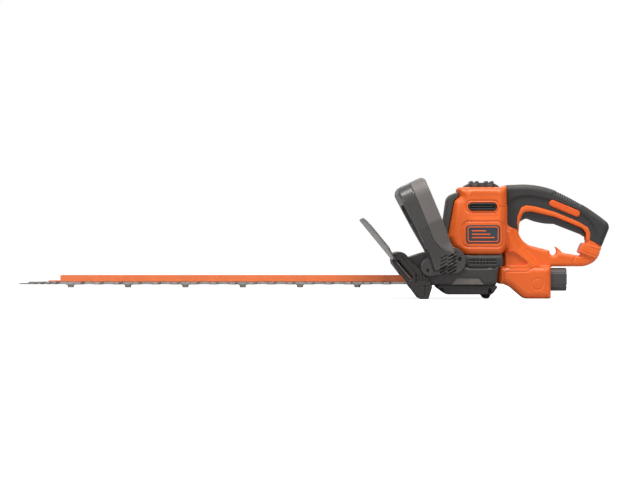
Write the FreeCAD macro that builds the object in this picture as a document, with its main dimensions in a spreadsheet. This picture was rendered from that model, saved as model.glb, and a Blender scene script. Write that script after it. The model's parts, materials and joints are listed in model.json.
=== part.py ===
"""Corded hedge trimmer with a double-sided dual-action blade.

The blade points along -X, the rear handle is at +X and +Z is up. The origin is on the resting plane,
under the middle of the overall box. Every size is in millimetres and lives in the Sizes sheet.

Drive: a vertical universal motor turns a small pinion. The pinion turns a large spur gear, and two
eccentric cams under that gear push the upper and the lower blade in opposite directions.
"""

import FreeCAD
import Part
import Sketcher

import math
import os

from FreeCAD import Placement, Rotation, Vector

DOC = FreeCAD.newDocument("hedge_trimmer")
LEFT, RIGHT = -1, 1
SIDES = {"left": LEFT, "right": RIGHT}
ALONG_X = Rotation(Vector(0, 1, 0), 90)
ALONG_Y = Rotation(Vector(1, 0, 0), -90)
ALONG_Z = Rotation()

# Driving dimensions, by the piece that they belong to.
SIZES = {
    "Drive": {
        "gear_x": 207.0,
        "gear_module": 1.0,
        "gear_teeth": 57.0,
        "pinion_teeth": 9.0,
        "gear_floor": 36.0,
        "gear_thick": 8.0,
        "hub_radius": 10.0,
        "throw": 7.0,
        "cam_radius": 12.0,
        "spindle_radius": 4.5,
        "spindle_floor": 10.0,
        "spindle_top": 57.5,
        "shaft_radius": 4.0,
        "shaft_top": 154.0,
        "pinion_floor": 34.0,
        "pinion_length": 13.0,
        "running_gap": 0.05,
    },
    "Blades": {
        "blade_floor": 20.3,
        "blade_thick": 1.9,
        "blade_gap": 0.1,
        "spine_half": 11.0,
        "lower_tip_x": -426.8,
        "upper_tip_lag": 13.0,
        "nose_half": 1.6,
        "nose_length": 20.0,
        "tooth_pitch": 27.7,
        "tooth_count": 17.0,
        "first_tooth_x": -338.75,
        "tooth_root_half": 7.4,
        "tooth_tip_half": 3.6,
        "tooth_reach": 31.0,
        "saw_pitch": 10.0,
        "saw_depth": 4.5,
        "saw_end_x": -362.0,
        "bolt_pitch": 83.1,
        "bolt_count": 6.0,
        "first_bolt_x": -352.6,
        "slot_half": 3.3,
        "tail_start_x": 172.0,
        "tail_half": 24.5,
        "tail_end_x": 226.5,
        "cam_play": 1.7,
        "cam_side_play": 0.4,
    },
    "Blade bar": {
        "bar_floor": 24.6,
        "bar_skin": 1.7,
        "bar_top": 33.6,
        "bar_half": 11.0,
        "bar_tip_x": -384.5,
        "bar_tip_half": 5.0,
        "bar_tip_step": 0.3,
        "flange_tip_x": -366.4,
        "flange_end_x": 170.0,
        "foot_start_x": 146.0,
        "foot_half": 27.0,
        "foot_end_x": 174.0,
        "foot_screw_y": 21.0,
        "foot_screw_inset": 6.5,
    },
    "Fasteners": {
        "bolt_radius": 2.9,
        "bolt_head_radius": 4.6,
        "bolt_head_height": 3.2,
        "bolt_foot": 15.7,
        "bolt_gap": 0.1,
        "washer_radius": 6.4,
        "washer_top": 20.25,
        "washer_thick": 1.15,
        "nut_circumradius": 4.6,
        "screw_radius": 1.9,
        "screw_head_radius": 3.4,
        "screw_head_height": 2.6,
        "screw_length": 7.5,
        "handle_screw_low_x": 163.9,
        "handle_screw_low_z": 41.7,
        "handle_screw_high_x": 207.3,
        "handle_screw_high_z": 57.8,
        "hook_slot_x": 345.8,
        "hook_slot_z": 67.6,
        "hook_slot_radius": 5.4,
        "neck_start_x": 270.0,
        "neck_end_x": 300.0,
        "neck_floor": 126.0,
        "neck_top": 138.0,
        "socket_round": 3.0,
    },
    "Motor": {
        "stator_radius": 28.0,
        "stator_bore": 16.2,
        "stator_floor": 86.0,
        "stator_height": 40.0,
        "rotor_radius": 15.6,
        "coil_height": 6.0,
        "commutator_radius": 11.0,
        "commutator_floor": 134.0,
        "commutator_height": 11.0,
        "fan_radius": 27.0,
        "fan_floor": 70.0,
        "fan_height": 9.0,
        "fan_blades": 9.0,
        "bearing_radius": 11.0,
        "bearing_height": 7.0,
        "upper_bearing_floor": 146.5,
        "plate_floor": 54.0,
        "plate_thick": 4.0,
        "brush_width": 6.0,
        "brush_length": 12.0,
        "holder_skin": 1.6,
        "brush_spring_radius": 2.2,
        "brush_spring_wire": 0.4,
        "brush_spring_turns": 5.0,
        "cradle_front_x": 200.0,
        "cradle_rear_x": 268.0,
        "cradle_thick": 5.0,
    },
    "Cases": {
        "case_half": 42.0,
        "case_skin": 3.5,
        "case_split": 19.5,
        "case_ceiling": 58.0,
        "cavity_start_x": 175.0,
        "cavity_end_x": 259.0,
        "tunnel_half": 29.0,
        "tunnel_top": 37.0,
        "cover_half": 38.0,
        "cover_floor": 6.2,
        "cover_skin": 3.4,
        "cover_round": 2.0,
        "cover_start_x": 182.0,
        "cover_end_x": 256.0,
        "bush_radius": 7.0,
        "bush_flange": 9.0,
        "bush_height": 8.0,
        "case_round": 6.0,
        "boss_radius": 5.0,
        "boss_front_x": 183.6,
        "boss_rear_x": 252.0,
        "boss_y": 33.6,
        "bar_screw_top": 45.0,
        "spring_end_gap": 0.4,
        "cover_screw_seat": 16.0,
        "cover_screw_top": 32.0,
        "foot_width_half": 16.0,
    },
    "Housing": {
        "motor_half": 42.0,
        "motor_skin": 3.5,
        "frame_half": 14.0,
        "grip_half": 17.0,
        "web_half": 24.0,
        "cowl_half": 26.0,
        "hollow_half": 10.4,
        "boss_screw_depth": 9.0,
    },
    "Front handle": {
        "handle_tilt": 25.0,
        "handle_base_x": 183.0,
        "handle_base_z": 48.0,
        "handle_inner_half": 42.3,
        "handle_flange_thick": 6.5,
        "handle_wide_half": 84.0,
        "handle_leg_thick": 19.0,
        "handle_flare_start": 26.0,
        "handle_flare_end": 62.0,
        "handle_top": 127.0,
        "handle_bar_thick": 25.0,
        "handle_corner": 26.0,
        "handle_skin": 3.0,
        "big_disc_x": 197.3,
        "big_disc_z": 54.4,
        "big_disc_radius": 20.0,
        "small_disc_x": 165.6,
        "small_disc_z": 45.8,
        "small_disc_radius": 14.0,
    },
    "Guard": {
        "guard_top_x": 66.5,
        "guard_top_z": 114.0,
        "guard_foot_x": 137.5,
        "guard_foot_z": 27.0,
        "guard_half": 86.0,
        "guard_bow": 5.0,
        "guard_thick": 2.5,
        "guard_corner": 22.0,
        "guard_notch_half": 33.0,
        "guard_notch_height": 14.0,
        "guard_slot_gap": 0.3,
        "guard_shoulder_height": 34.0,
        "guard_shoulder_half": 50.0,
        "bracket_half": 50.0,
        "window_half": 32.0,
        "window_floor": 14.5,
        "window_top": 37.0,
    },
    "Trigger": {
        "trigger_half": 9.4,
        "trigger_pin_x": 303.0,
        "trigger_pin_z": 125.5,
        "trigger_pin_radius": 2.0,
        "trigger_pin_half": 12.5,
        "spring_x": 366.0,
        "spring_floor": 113.4,
        "spring_top": 129.0,
        "spring_radius": 3.2,
        "spring_wire": 0.45,
        "spring_turns": 6.0,
        "switch_x": 338.0,
        "switch_z": 133.5,
        "switch_length": 26.0,
        "switch_height": 13.0,
        "lead_radius": 1.2,
        "lead_y": 4.0,
        "switch_tilt": 18.0,
    },
    "Inlet": {
        "inlet_start_x": 300.0,
        "inlet_end_x": 365.0,
        "inlet_floor": 11.0,
        "inlet_top": 44.0,
        "inlet_half": 16.0,
        "inlet_chamfer": 7.0,
        "socket_depth": 19.0,
        "socket_half": 12.0,
        "socket_half_height": 11.5,
        "prong_spacing": 12.7,
        "prong_thick": 1.5,
        "prong_height": 6.3,
        "prong_reach": 17.0,
        "prong_root": 8.0,
    },
    "Trim": {
        "trim_half": 30.0,
        "cap_half": 27.0,
        "rib_width": 11.5,
        "rib_top": 169.6,
        "rib_groove": 5.4,
        "rib_groove_depth": 4.2,
        "rib_front_x": 231.0,
        "rib_rear_x": 252.7,
        "rib_half": 24.0,
        "vent_x": 241.3,
        "vent_z": 132.2,
        "vent_length": 41.0,
        "vent_height": 10.6,
        "vent_depth": 3.0,
        "louvre_height": 2.0,
        "grille_x": 241.5,
        "grille_z": 53.5,
        "grille_length": 46.0,
        "grille_height": 12.4,
        "badge_x": 242.0,
        "badge_z": 92.6,
        "badge_length": 49.0,
        "badge_height": 26.8,
        "badge_round": 5.5,
        "plate_proud": 0.8,
        "collar_half": 17.5,
    },
}

# Outlines, seen from the blade's left: each point is a name, X, Z and, after an arc, its radius.
# A positive radius bulges out of an outline that runs anticlockwise.
OUTLINES = {
    "case": [
        ("toe", 150.0, 19.5),
        ("heel", 262.4, 19.5),
        ("waist", 263.8, 43.0),
        ("shelf", 271.5, 50.0),
        ("deck_rear", 271.5, 63.0),
        ("deck_front", 215.0, 63.0),
        ("crown", 198.0, 71.5),
        ("brow", 157.0, 66.5),
        ("nose", 135.2, 59.3),
        ("lip", 153.0, 33.5),
    ],
    "cover": [
        ("toe", 172.0, 19.5),
        ("ramp", 190.0, 6.2),
        ("floor", 256.0, 6.2),
        ("heel", 265.0, 19.5),
    ],
    "foot": [
        ("front", 240.0, 7.0),
        ("low", 245.0, 0.6),
        ("back", 252.5, 0.6, 8.0),
        ("top", 257.0, 8.5),
    ],
    "bracket": [
        ("toe", 151.0, 0.0),
        ("sole", 163.5, 0.0),
        ("heel", 169.5, 19.0),
        ("step", 156.6, 39.5),
        ("saddle", 134.8, 58.9),
        ("hump", 128.0, 66.2, 12.0),
        ("crest", 120.5, 67.6, 12.0),
        ("peak", 109.5, 64.8),
        ("chin", 112.6, 50.0),
    ],
    "motor": [
        ("chin", 215.5, 63.2),
        ("seat", 265.0, 63.2),
        ("heel", 274.0, 71.0, 12.0),
        ("rear", 277.0, 80.0),
        ("shoulder", 277.0, 163.4),
        ("dip", 268.0, 160.3),
        ("brow", 211.0, 160.3),
        ("lip", 206.9, 156.5, 5.0),
        ("bridge", 209.7, 147.2),
        ("cheek", 201.4, 140.2),
        ("jaw", 191.7, 88.9),
        ("throat", 198.6, 72.3),
    ],
    "motor_cavity": [
        ("chin", 208.0, 67.0),
        ("seat", 271.0, 67.0),
        ("rear", 273.5, 84.0),
        ("top", 273.5, 146.0),
        ("brow", 209.0, 146.0),
        ("cheek", 205.0, 138.0),
        ("jaw", 196.0, 90.0),
    ],
    "web": [
        ("seat", 274.0, 46.3),
        ("rear", 326.0, 46.3),
        ("slope", 312.0, 62.0),
        ("neck", 297.0, 76.0),
        ("throat", 285.0, 100.0),
        ("root", 274.0, 104.0),
    ],
    "frame": [
        ("seat", 277.0, 46.3),
        ("floor", 387.3, 46.3),
        ("elbow", 407.0, 55.0, 34.0),
        ("knee", 415.2, 73.5),
        ("hip", 422.0, 94.5),
        ("heel", 423.4, 102.5, 12.0),
        ("back", 420.0, 109.5, 12.0),
        ("shoulder", 349.2, 153.2, 330.0),
        ("neck", 297.0, 162.2, 130.0),
        ("root", 277.0, 161.4),
    ],
    "loop": [
        ("throat", 295.8, 94.5),
        ("curve", 311.9, 76.7, 28.0),
        ("floor", 340.5, 69.4),
        ("mouth", 385.5, 61.7),
        ("leg", 391.0, 76.0),
        ("knuckle", 396.0, 88.0),
        ("band_end", 387.3, 101.6, 13.0),
        ("band_rear", 369.6, 108.9),
        ("band_mid", 347.4, 117.8),
        ("band_front", 314.1, 125.5),
        ("band_top", 303.5, 124.6, 16.0),
        ("band_foot", 297.0, 108.0),
    ],
    "grip": [
        ("root", 277.3, 112.0),
        ("hem", 286.5, 101.5, 12.0),
        ("tail", 294.6, 98.9),
        ("band_foot", 293.7, 107.0),
        ("band_front", 299.7, 130.0),
        ("band_top", 308.0, 133.9, 10.0),
        ("band_mid", 347.4, 124.4),
        ("band_rear", 380.7, 110.6),
        ("band_end", 397.3, 96.0, 18.0),
        ("cuff", 396.6, 84.6),
        ("knee", 416.7, 75.0),
        ("hip", 425.6, 97.8),
        ("heel", 426.8, 104.5, 12.0),
        ("back", 422.4, 112.0, 12.0),
        ("shoulder", 349.6, 156.2, 330.0),
        ("neck", 297.4, 165.2, 130.0),
        ("brow", 277.3, 164.4),
    ],
    "hollow": [
        ("foot", 295.9, 106.5),
        ("front", 306.0, 112.0),
        ("mid", 347.0, 104.0),
        ("rear", 390.0, 84.0),
        ("heel", 394.6, 88.0),
        ("back", 394.6, 104.0),
        ("roof_rear", 384.0, 122.0),
        ("roof_mid", 348.0, 141.5),
        ("roof_front", 318.0, 148.0),
        ("neck", 300.0, 140.0),
        ("root", 295.9, 128.0),
    ],
    "trigger": [
        ("toe", 297.4, 109.6),
        ("curl", 308.5, 115.5, -16.0),
        ("mid", 347.4, 107.8, 90.0),
        ("rear", 387.3, 92.2),
        ("heel", 391.6, 88.4),
        ("back", 392.2, 94.2),
        ("top_rear", 386.0, 102.6),
        ("top_mid", 347.4, 118.8),
        ("top_front", 318.0, 127.0),
        ("crown", 303.5, 130.6),
        ("brow", 298.2, 127.0),
        ("front", 297.4, 118.0),
    ],
    "cowl": [
        ("step", 274.1, 21.6),
        ("slope", 283.2, 17.7),
        ("ramp", 300.0, 3.5),
        ("sole", 310.3, 0.0, 18.0),
        ("rear", 341.5, 0.0),
        ("top", 341.5, 46.3),
        ("root", 268.0, 46.3),
        ("cheek", 264.0, 40.0, 8.0),
        ("chin", 264.6, 27.0),
        ("lip", 268.0, 21.6, 6.0),
    ],
    "wire_room": [
        ("floor", 276.0, 26.0),
        ("seat", 300.0, 26.0),
        ("top", 300.0, 44.0),
        ("step", 288.0, 60.0),
        ("rear", 282.0, 93.0),
        ("front", 272.0, 93.0),
        ("low", 272.0, 30.0),
    ],
    "collar": [
        ("low_front", 381.4, 66.4),
        ("low_rear", 408.6, 55.6),
        ("top_rear", 415.6, 74.2),
        ("top_front", 388.0, 81.2),
    ],
    "hook": [
        ("root", 350.5, 67.2),
        ("toe", 360.5, 65.6),
        ("back", 353.5, 72.6),
        ("tip", 348.6, 76.2),
        ("barb", 347.2, 74.8),
        ("throat", 351.4, 70.6),
    ],
    "trim": [
        ("foot", 183.5, 84.0),
        ("jaw", 190.6, 84.0),
        ("cheek", 201.1, 140.5),
        ("bridge", 209.3, 147.5),
        ("lip", 206.9, 152.6),
        ("brow", 198.6, 150.4, 12.0),
        ("crown", 191.7, 141.6, 12.0),
    ],
    "cap": [
        ("front", 214.4, 160.4),
        ("rear", 268.0, 160.4),
        ("top_rear", 256.0, 167.0, 30.0),
        ("top_front", 227.0, 167.0),
        ("front_again", 214.5, 160.5, 30.0),
    ],
    "shell_front": [
        ("base", 172.0, 40.0),
        ("knee", 198.4, 48.0),
        ("hip", 199.4, 64.5),
        ("seam_low", 178.8, 74.7),
        ("seam_curve", 167.2, 90.2, -30.0),
        ("seam_mid", 147.7, 136.8),
        ("seam_top", 135.4, 165.2),
        ("brow", 127.5, 163.0),
        ("cheek", 119.6, 148.5, 12.0),
        ("shin", 162.0, 69.5),
        ("ankle", 168.6, 52.0),
    ],
    "shell_rear": [
        ("seam_low", 178.9, 74.8),
        ("hip", 199.5, 64.6),
        ("calf", 198.2, 73.4),
        ("elbow", 159.4, 165.9),
        ("crown", 151.6, 173.1, 7.0),
        ("brow", 134.0, 167.0),
        ("seam_top", 135.5, 165.2),
        ("seam_mid", 147.8, 136.8),
        ("seam_curve", 167.3, 90.2),
    ],
    "label": [
        ("low_front", 196.8, 21.0),
        ("low_rear", 243.0, 21.0),
        ("top_rear", 236.0, 29.6),
        ("top_front", 204.5, 29.6),
    ],
    "recess": [
        ("low_front", 278.5, 47.6),
        ("low_rear", 306.5, 47.6),
        ("rear", 308.5, 53.0, 3.5),
        ("top_rear", 289.5, 67.6),
        ("top_front", 278.5, 67.6),
    ],
    "accent": [
        ("rear_low", 378.4, 118.8),
        ("rear_top", 381.8, 126.8, 4.4),
        ("front_top", 345.2, 142.3),
        ("front_low", 341.8, 134.3, 4.4),
    ],
}


# ---------------------------------------------------------------- the sheet and its sizes
class Size:
    """A length from the sheet: its value now, and the expression that keeps a feature bound to it."""

    def __init__(self, value, text):
        self.value = float(value)
        self.text = text

    def join(self, other, sign, value):
        other = size(other)
        return Size(value(self.value, other.value), f"({self.text} {sign} {other.text})")

    def __add__(self, other):
        return self.join(other, "+", lambda a, b: a + b)

    def __sub__(self, other):
        return self.join(other, "-", lambda a, b: a - b)

    def __mul__(self, other):
        return self.join(other, "*", lambda a, b: a * b)

    def __truediv__(self, other):
        return self.join(other, "/", lambda a, b: a / b)

    def __radd__(self, other):
        return size(other) + self

    def __rsub__(self, other):
        return size(other) - self

    def __rmul__(self, other):
        return size(other) * self

    def __neg__(self):
        return size(0) - self


def size(value):
    return value if isinstance(value, Size) else Size(value, repr(float(value)))


class Sheet:
    """The document's spreadsheet. Each cell is a plain number with an alias; sheet.NAME is its Size."""

    def __init__(self):
        self.cells = DOC.addObject("Spreadsheet::Sheet", "Sizes")
        self.row = 1

    def heading(self, words):
        self.cells.set(f"A{self.row}", words)
        self.row += 1

    def add(self, alias, value):
        self.cells.set(f"A{self.row}", alias)
        self.cells.set(f"B{self.row}", repr(value))
        self.cells.setAlias(f"B{self.row}", alias)
        setattr(self, alias, Size(value, f"Sizes.{alias}"))
        self.row += 1

    def fill(self):
        for section, lengths in SIZES.items():
            self.heading(section)
            for alias, value in lengths.items():
                self.add(alias, value)
        for name, points in OUTLINES.items():
            self.heading(f"Outline: {name}")
            for corner, *numbers in points:
                for letter, value in zip("xzr", numbers):
                    self.add(f"{name}_{corner}_{letter}", value)
        DOC.recompute()

    def outline(self, name):
        """An outline as [(x, z) or (x, z, radius)], each a Size."""
        return [
            tuple(getattr(self, f"{name}_{corner}_{letter}") for letter in "xzr"[: len(numbers)])
            for corner, *numbers in OUTLINES[name]
        ]


s = Sheet()
s.fill()
s.motor_x = s.gear_x + s.gear_module * (s.gear_teeth + s.pinion_teeth) / 2
s.upper_blade_floor = s.blade_floor + s.blade_thick + s.blade_gap
PIECES = {}


def keep(label, thing):
    """Names a finished sub-part, whose label becomes its file's name."""
    thing.Label = label
    PIECES[label] = thing
    return thing


# ---------------------------------------------------------------- sketches, bodies and primitives
def rectangle(low_x, high_x, low_y, high_y):
    low_x, high_x, low_y, high_y = (size(v) for v in (low_x, high_x, low_y, high_y))
    return [(low_x, low_y), (high_x, low_y), (high_x, high_y), (low_x, high_y)]


def circle(x, y, radius):
    return ("circle", size(x), size(y), size(radius))


def pill(x, y, length, height):
    """A slot with round ends, centred on x, y and lying along the first axis."""
    reach, half = (size(length) - height) / 2, size(height) / 2
    low, high = size(x) - reach, size(x) + reach
    y = size(y)
    return [
        (low, y - half), (high, y - half), (high + half, y, half), (high, y + half, half),
        (low, y + half), (low - half, y, half), (low, y - half, half),
    ]


def rounded(low_x, high_x, low_y, high_y, radius):
    """A rectangle with round corners."""
    a, b, c, d, r = (size(v) for v in (low_x, high_x, low_y, high_y, radius))
    return [
        (a + r, c), (b - r, c), (b, c + r, r), (b, d - r),
        (b - r, d, r), (a + r, d), (a, d - r, r), (a, c + r), (a + r, c, r),
    ]


def edge(start, end):
    """The straight or round edge from one corner of an outline to the next, and whether it runs backwards."""
    a, b = (Vector(p[0].value, p[1].value, 0) for p in (start, end))
    if len(end) < 3:
        return Part.LineSegment(a, b), False
    radius = end[2].value
    middle, along = (a + b) / 2, b - a
    left = Vector(-along.y, along.x, 0).normalize()
    rise = math.sqrt(max(radius**2 - (along.Length / 2) ** 2, 0.0))
    centre = middle + left * math.copysign(rise, radius)
    first, last = (a, b) if radius > 0 else (b, a)
    angles = [math.atan2(p.y - centre.y, p.x - centre.x) for p in (first, last)]
    if angles[1] < angles[0]:
        angles[1] += 2 * math.pi
    whole = Part.Circle(centre, Vector(0, 0, 1), abs(radius))
    return Part.ArcOfCircle(whole, *angles), radius < 0


def closed_corners(loop):
    """An outline's corners with the last dropped when it only closes the first with an arc."""
    first, last = loop[0], loop[-1]
    same = abs(first[0].value - last[0].value) < 1e-6 and abs(first[1].value - last[1].value) < 1e-6
    return ([last] + loop[1:-1]) if same else loop


def draw(sketch, loop):
    """Adds one closed outline or circle to a sketch, with every corner and radius bound to the sheet."""
    if loop[0] == "circle":
        _, x, y, radius = loop
        whole = Part.Circle(Vector(x.value, y.value, 0), Vector(0, 0, 1), radius.value)
        at = sketch.addGeometry(whole, False)
        bind(sketch, "DistanceX", (at, 3), x)
        bind(sketch, "DistanceY", (at, 3), y)
        bind(sketch, "Radius", (at,), radius)
        return
    corners = closed_corners(loop)
    edges = [edge(corners[i], corners[(i + 1) % len(corners)]) for i in range(len(corners))]
    ids = [sketch.addGeometry(shape, False) for shape, _ in edges]
    start = [2 if backwards else 1 for _, backwards in edges]
    end = [1 if backwards else 2 for _, backwards in edges]
    links = [
        Sketcher.Constraint("Coincident", ids[i - 1], end[i - 1], ids[i], start[i])
        for i in range(len(ids))
    ]
    sketch.addConstraint(links)
    for i, corner in enumerate(corners):
        bind(sketch, "DistanceX", (ids[i], start[i]), corner[0])
        bind(sketch, "DistanceY", (ids[i], start[i]), corner[1])
        if len(corner) > 2:
            radius = -corner[2] if corner[2].value < 0 else corner[2]
            bind(sketch, "Radius", (ids[i - 1],), radius)


def bind(sketch, kind, where, length):
    at = sketch.addConstraint(Sketcher.Constraint(kind, *where, length.value))
    sketch.setExpression(f"Constraints[{at}]", length.text)


class Body:
    """A PartDesign body. Its pads and pockets run from one coordinate to another along a plane's own axis."""

    # The sketch plane for each axis, and whether the plane's normal points down that axis.
    PLANES = {"X": ("YZ_Plane", False), "Y": ("XZ_Plane", True), "Z": ("XY_Plane", False)}

    def __init__(self, label):
        self.body = DOC.addObject("PartDesign::Body", label)
        self.body.AllowCompound = True
        self.label = label

    def plane(self, role):
        return next(f for f in self.body.Origin.OriginFeatures if f.Role == role)

    def sketch(self, axis, loops, start):
        role, flipped = self.PLANES[axis]
        sketch = self.body.newObject("Sketcher::SketchObject", f"{self.label}_sketch")
        sketch.AttachmentSupport = [(self.plane(role), "")]
        sketch.MapMode = "FlatFace"
        start = -size(start) if flipped else size(start)
        sketch.AttachmentOffset = Placement(Vector(0, 0, start.value), Rotation())
        sketch.setExpression("AttachmentOffset.Base.z", start.text)
        for loop in loops:
            draw(sketch, loop)
        return sketch

    def feature(self, kind, axis, loops, start, end, towards_normal):
        sketch = self.sketch(axis, loops, start)
        made = self.body.newObject(f"PartDesign::{kind}", f"{self.label}_{kind.lower()}")
        made.Profile = sketch
        length = size(end) - size(start)
        made.Length = length.value
        made.setExpression("Length", length.text)
        made.Reversed = self.PLANES[axis][1] == towards_normal
        sketch.Visibility = False
        return made

    def add(self, axis, loops, start, end):
        """Material inside the loops, from start to end along the axis."""
        return self.feature("Pad", axis, loops, start, end, True)

    def cut(self, axis, loops, start, end):
        """Removes what is inside the loops, from start to end along the axis."""
        return self.feature("Pocket", axis, loops, start, end, False)

    def repeat(self, features, count, pitch):
        """Repeats features along +X, pitch apart. Their sketches lie on the XY plane."""
        pattern = self.body.newObject("PartDesign::LinearPattern", f"{self.label}_row")
        pattern.Originals = features
        pattern.Direction = (features[0].Profile[0], ["H_Axis"])
        pattern.Mode = "Spacing"
        pattern.Offset = pitch.value
        pattern.setExpression("Offset", pitch.text)
        pattern.Occurrences = int(count.value)
        pattern.setExpression("Occurrences", count.text)
        self.body.Tip = pattern
        return pattern

    def round_edges(self, radius, wanted):
        """Fillets the edges of the shape so far that wanted() picks."""
        DOC.recompute()
        base = self.body.Tip
        names = [f"Edge{i + 1}" for i, e in enumerate(base.Shape.Edges) if wanted(e)]
        fillet = self.body.newObject("PartDesign::Fillet", f"{self.label}_fillet")
        fillet.Base = (base, names)
        fillet.Radius = radius.value
        fillet.setExpression("Radius", radius.text)
        return fillet

    def done(self):
        return keep(self.label, self.body)


def place(thing, x, y, z, turn=ALONG_Z):
    """Puts a primitive or a body at a point whose coordinates stay bound to the sheet."""
    spot = [size(v) for v in (x, y, z)]
    thing.Placement = Placement(Vector(*(v.value for v in spot)), turn)
    for letter, v in zip("xyz", spot):
        thing.setExpression(f"Placement.Base.{letter}", v.text)
    return thing


def rod(label, radius, length, x, y, z, turn=ALONG_Z):
    made = DOC.addObject("Part::Cylinder", label)
    for name, v in (("Radius", size(radius)), ("Height", size(length))):
        setattr(made, name, v.value)
        made.setExpression(name, v.text)
    return place(made, x, y, z, turn)


def block(label, low, high, turn=ALONG_Z):
    """A box between two corners, each (x, y, z)."""
    made = DOC.addObject("Part::Box", label)
    low, high = [size(v) for v in low], [size(v) for v in high]
    for name, a, b in zip(("Length", "Width", "Height"), low, high):
        span = b - a
        setattr(made, name, span.value)
        made.setExpression(name, span.text)
    return place(made, *low, turn)


def cut(label, base, *tools):
    """Base less the tools."""
    tool = fuse(f"{label}_tools", *tools) if len(tools) > 1 else tools[0]
    made = DOC.addObject("Part::Cut", label)
    made.Base, made.Tool = base, tool
    return made


def fuse(label, *things):
    made = DOC.addObject("Part::MultiFuse", label)
    made.Shapes = list(things)
    return made


def group(label, things):
    """Several separate solids that share one node."""
    made = DOC.addObject("Part::Compound", label)
    made.Links = list(things)
    return made


def made_by_hand(label, shape):
    """A shape worked out with Part's own functions from the sheet's values."""
    thing = DOC.addObject("Part::Feature", label)
    thing.Shape = shape
    return thing


def span(side, near, far):
    """From near to far out from the middle plane, as start and end along Y for that side."""
    near, far = size(near), size(far)
    return (near, far) if side == RIGHT else (-far, -near)


def turned(label, profile, x, y, z, turn=ALONG_Z):
    """A body of revolution: profile is [(radius, height), ...] about its own Z axis."""
    body = Body(label)
    sketch = body.sketch("Y", [[(size(r), size(h)) for r, h in profile]], 0)
    made = body.body.newObject("PartDesign::Revolution", f"{label}_turned")
    made.Profile = sketch
    made.ReferenceAxis = (sketch, ["V_Axis"])
    made.Angle = 360
    return place(body.body, x, y, z, turn)


def at_plane(axis, distance):
    """Picks the edges that lie wholly on a plane at that distance from the origin, on either side."""
    return lambda e: all(abs(abs(getattr(v.Point, axis)) - distance.value) < 1e-4 for v in e.Vertexes)


# ---------------------------------------------------------------- blades, bar and their bolts
def blade(label, tip_x, floor):
    """One flat steel blade: saw teeth at the nose, cutting teeth on both sides and a cam window."""
    body = Body(label)
    top = floor + s.blade_thick
    nose_x = tip_x + s.nose_length
    body.add("Z", [[
        (tip_x, -s.nose_half), (nose_x, -s.spine_half), (s.tail_start_x, -s.spine_half),
        (s.tail_start_x + s.tail_half / 2, -s.tail_half), (s.tail_end_x, -s.tail_half),
        (s.tail_end_x, s.tail_half), (s.tail_start_x + s.tail_half / 2, s.tail_half),
        (s.tail_start_x, s.spine_half), (nose_x, s.spine_half), (tip_x, s.nose_half),
    ]], floor, top)
    tooth = body.add("Z", [tooth_outline(RIGHT), tooth_outline(LEFT)], floor, top)
    body.repeat([tooth], s.tooth_count, s.tooth_pitch)
    notch = body.cut("Z", [saw_notch(RIGHT, nose_x), saw_notch(LEFT, nose_x)], floor, top)
    notches = (s.saw_end_x.value - nose_x.value) / s.saw_pitch.value
    body.repeat([notch], size(int(notches)), s.saw_pitch)
    slot_length = 2 * (s.throw + s.slot_half + s.bolt_gap)
    slot = body.cut("Z", [pill(s.first_bolt_x, 0, slot_length, 2 * s.slot_half)], floor, top)
    body.repeat([slot], s.bolt_count, s.bolt_pitch)
    half_x = s.cam_radius + s.cam_play
    half_y = s.cam_radius + s.throw + s.cam_side_play
    body.cut("Z", [rectangle(s.gear_x - half_x, s.gear_x + half_x, -half_y, half_y)], floor, top)
    return body.done()


def tooth_outline(side):
    x, root = s.first_tooth_x, s.spine_half - 1
    corners = [
        (x - s.tooth_root_half, root * side), (x + s.tooth_root_half, root * side),
        (x + s.tooth_tip_half, s.tooth_reach * side), (x - s.tooth_tip_half, s.tooth_reach * side),
    ]
    return corners if side == RIGHT else corners[::-1]


def saw_notch(side, start_x):
    edge_y, floor_y = (s.spine_half + 1) * side, (s.spine_half - s.saw_depth) * side
    floor_x, end_x = start_x + s.saw_pitch * 0.45, start_x + s.saw_pitch * 0.8
    return [(start_x, edge_y), (floor_x, floor_y), (end_x, edge_y)]


def blade_bar():
    """The pressed steel channel over the blades, open upwards, with a foot that bolts into the gear case."""
    body = Body("blade_bar")
    base_top = s.bar_floor + s.bar_skin
    body.add("Z", [[
        (s.bar_tip_x, -s.bar_tip_half), (s.flange_tip_x, -s.bar_half),
        (s.flange_tip_x, s.bar_half), (s.bar_tip_x, s.bar_tip_half),
    ]], s.bar_floor, base_top - s.bar_tip_step)
    body.add("Z", [[
        (s.flange_tip_x, -s.bar_half), (s.foot_start_x, -s.bar_half),
        (s.foot_start_x, -s.foot_half), (s.foot_end_x, -s.foot_half),
        (s.foot_end_x, s.foot_half), (s.foot_start_x, s.foot_half),
        (s.foot_start_x, s.bar_half), (s.flange_tip_x, s.bar_half),
    ]], s.bar_floor, base_top)
    flange = s.bar_half - s.bar_skin
    body.add("Z", [
        rectangle(s.flange_tip_x, s.flange_end_x, flange, s.bar_half),
        rectangle(s.flange_tip_x, s.flange_end_x, -s.bar_half, -flange),
    ], base_top, s.bar_top)
    hole = body.cut("Z", [circle(s.first_bolt_x, 0, s.bolt_radius + s.bolt_gap)], s.bar_floor, base_top)
    body.repeat([hole], s.bolt_count, s.bolt_pitch)
    screw_holes = [circle(x, y, s.screw_radius + s.bolt_gap) for x, y in foot_screw_places()]
    body.cut("Z", screw_holes, s.bar_floor, base_top)
    return body.done()


def foot_screw_places():
    low, high = s.foot_start_x + s.foot_screw_inset, s.foot_end_x - s.foot_screw_inset
    return [(x, s.foot_screw_y * side) for x in (low, high) for side in (LEFT, RIGHT)]


def foot_screw_holes():
    return [circle(x, y, s.screw_radius) for x, y in foot_screw_places()]


def bolt_places():
    return [s.first_bolt_x + s.bolt_pitch * i for i in range(int(s.bolt_count.value))]


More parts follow.
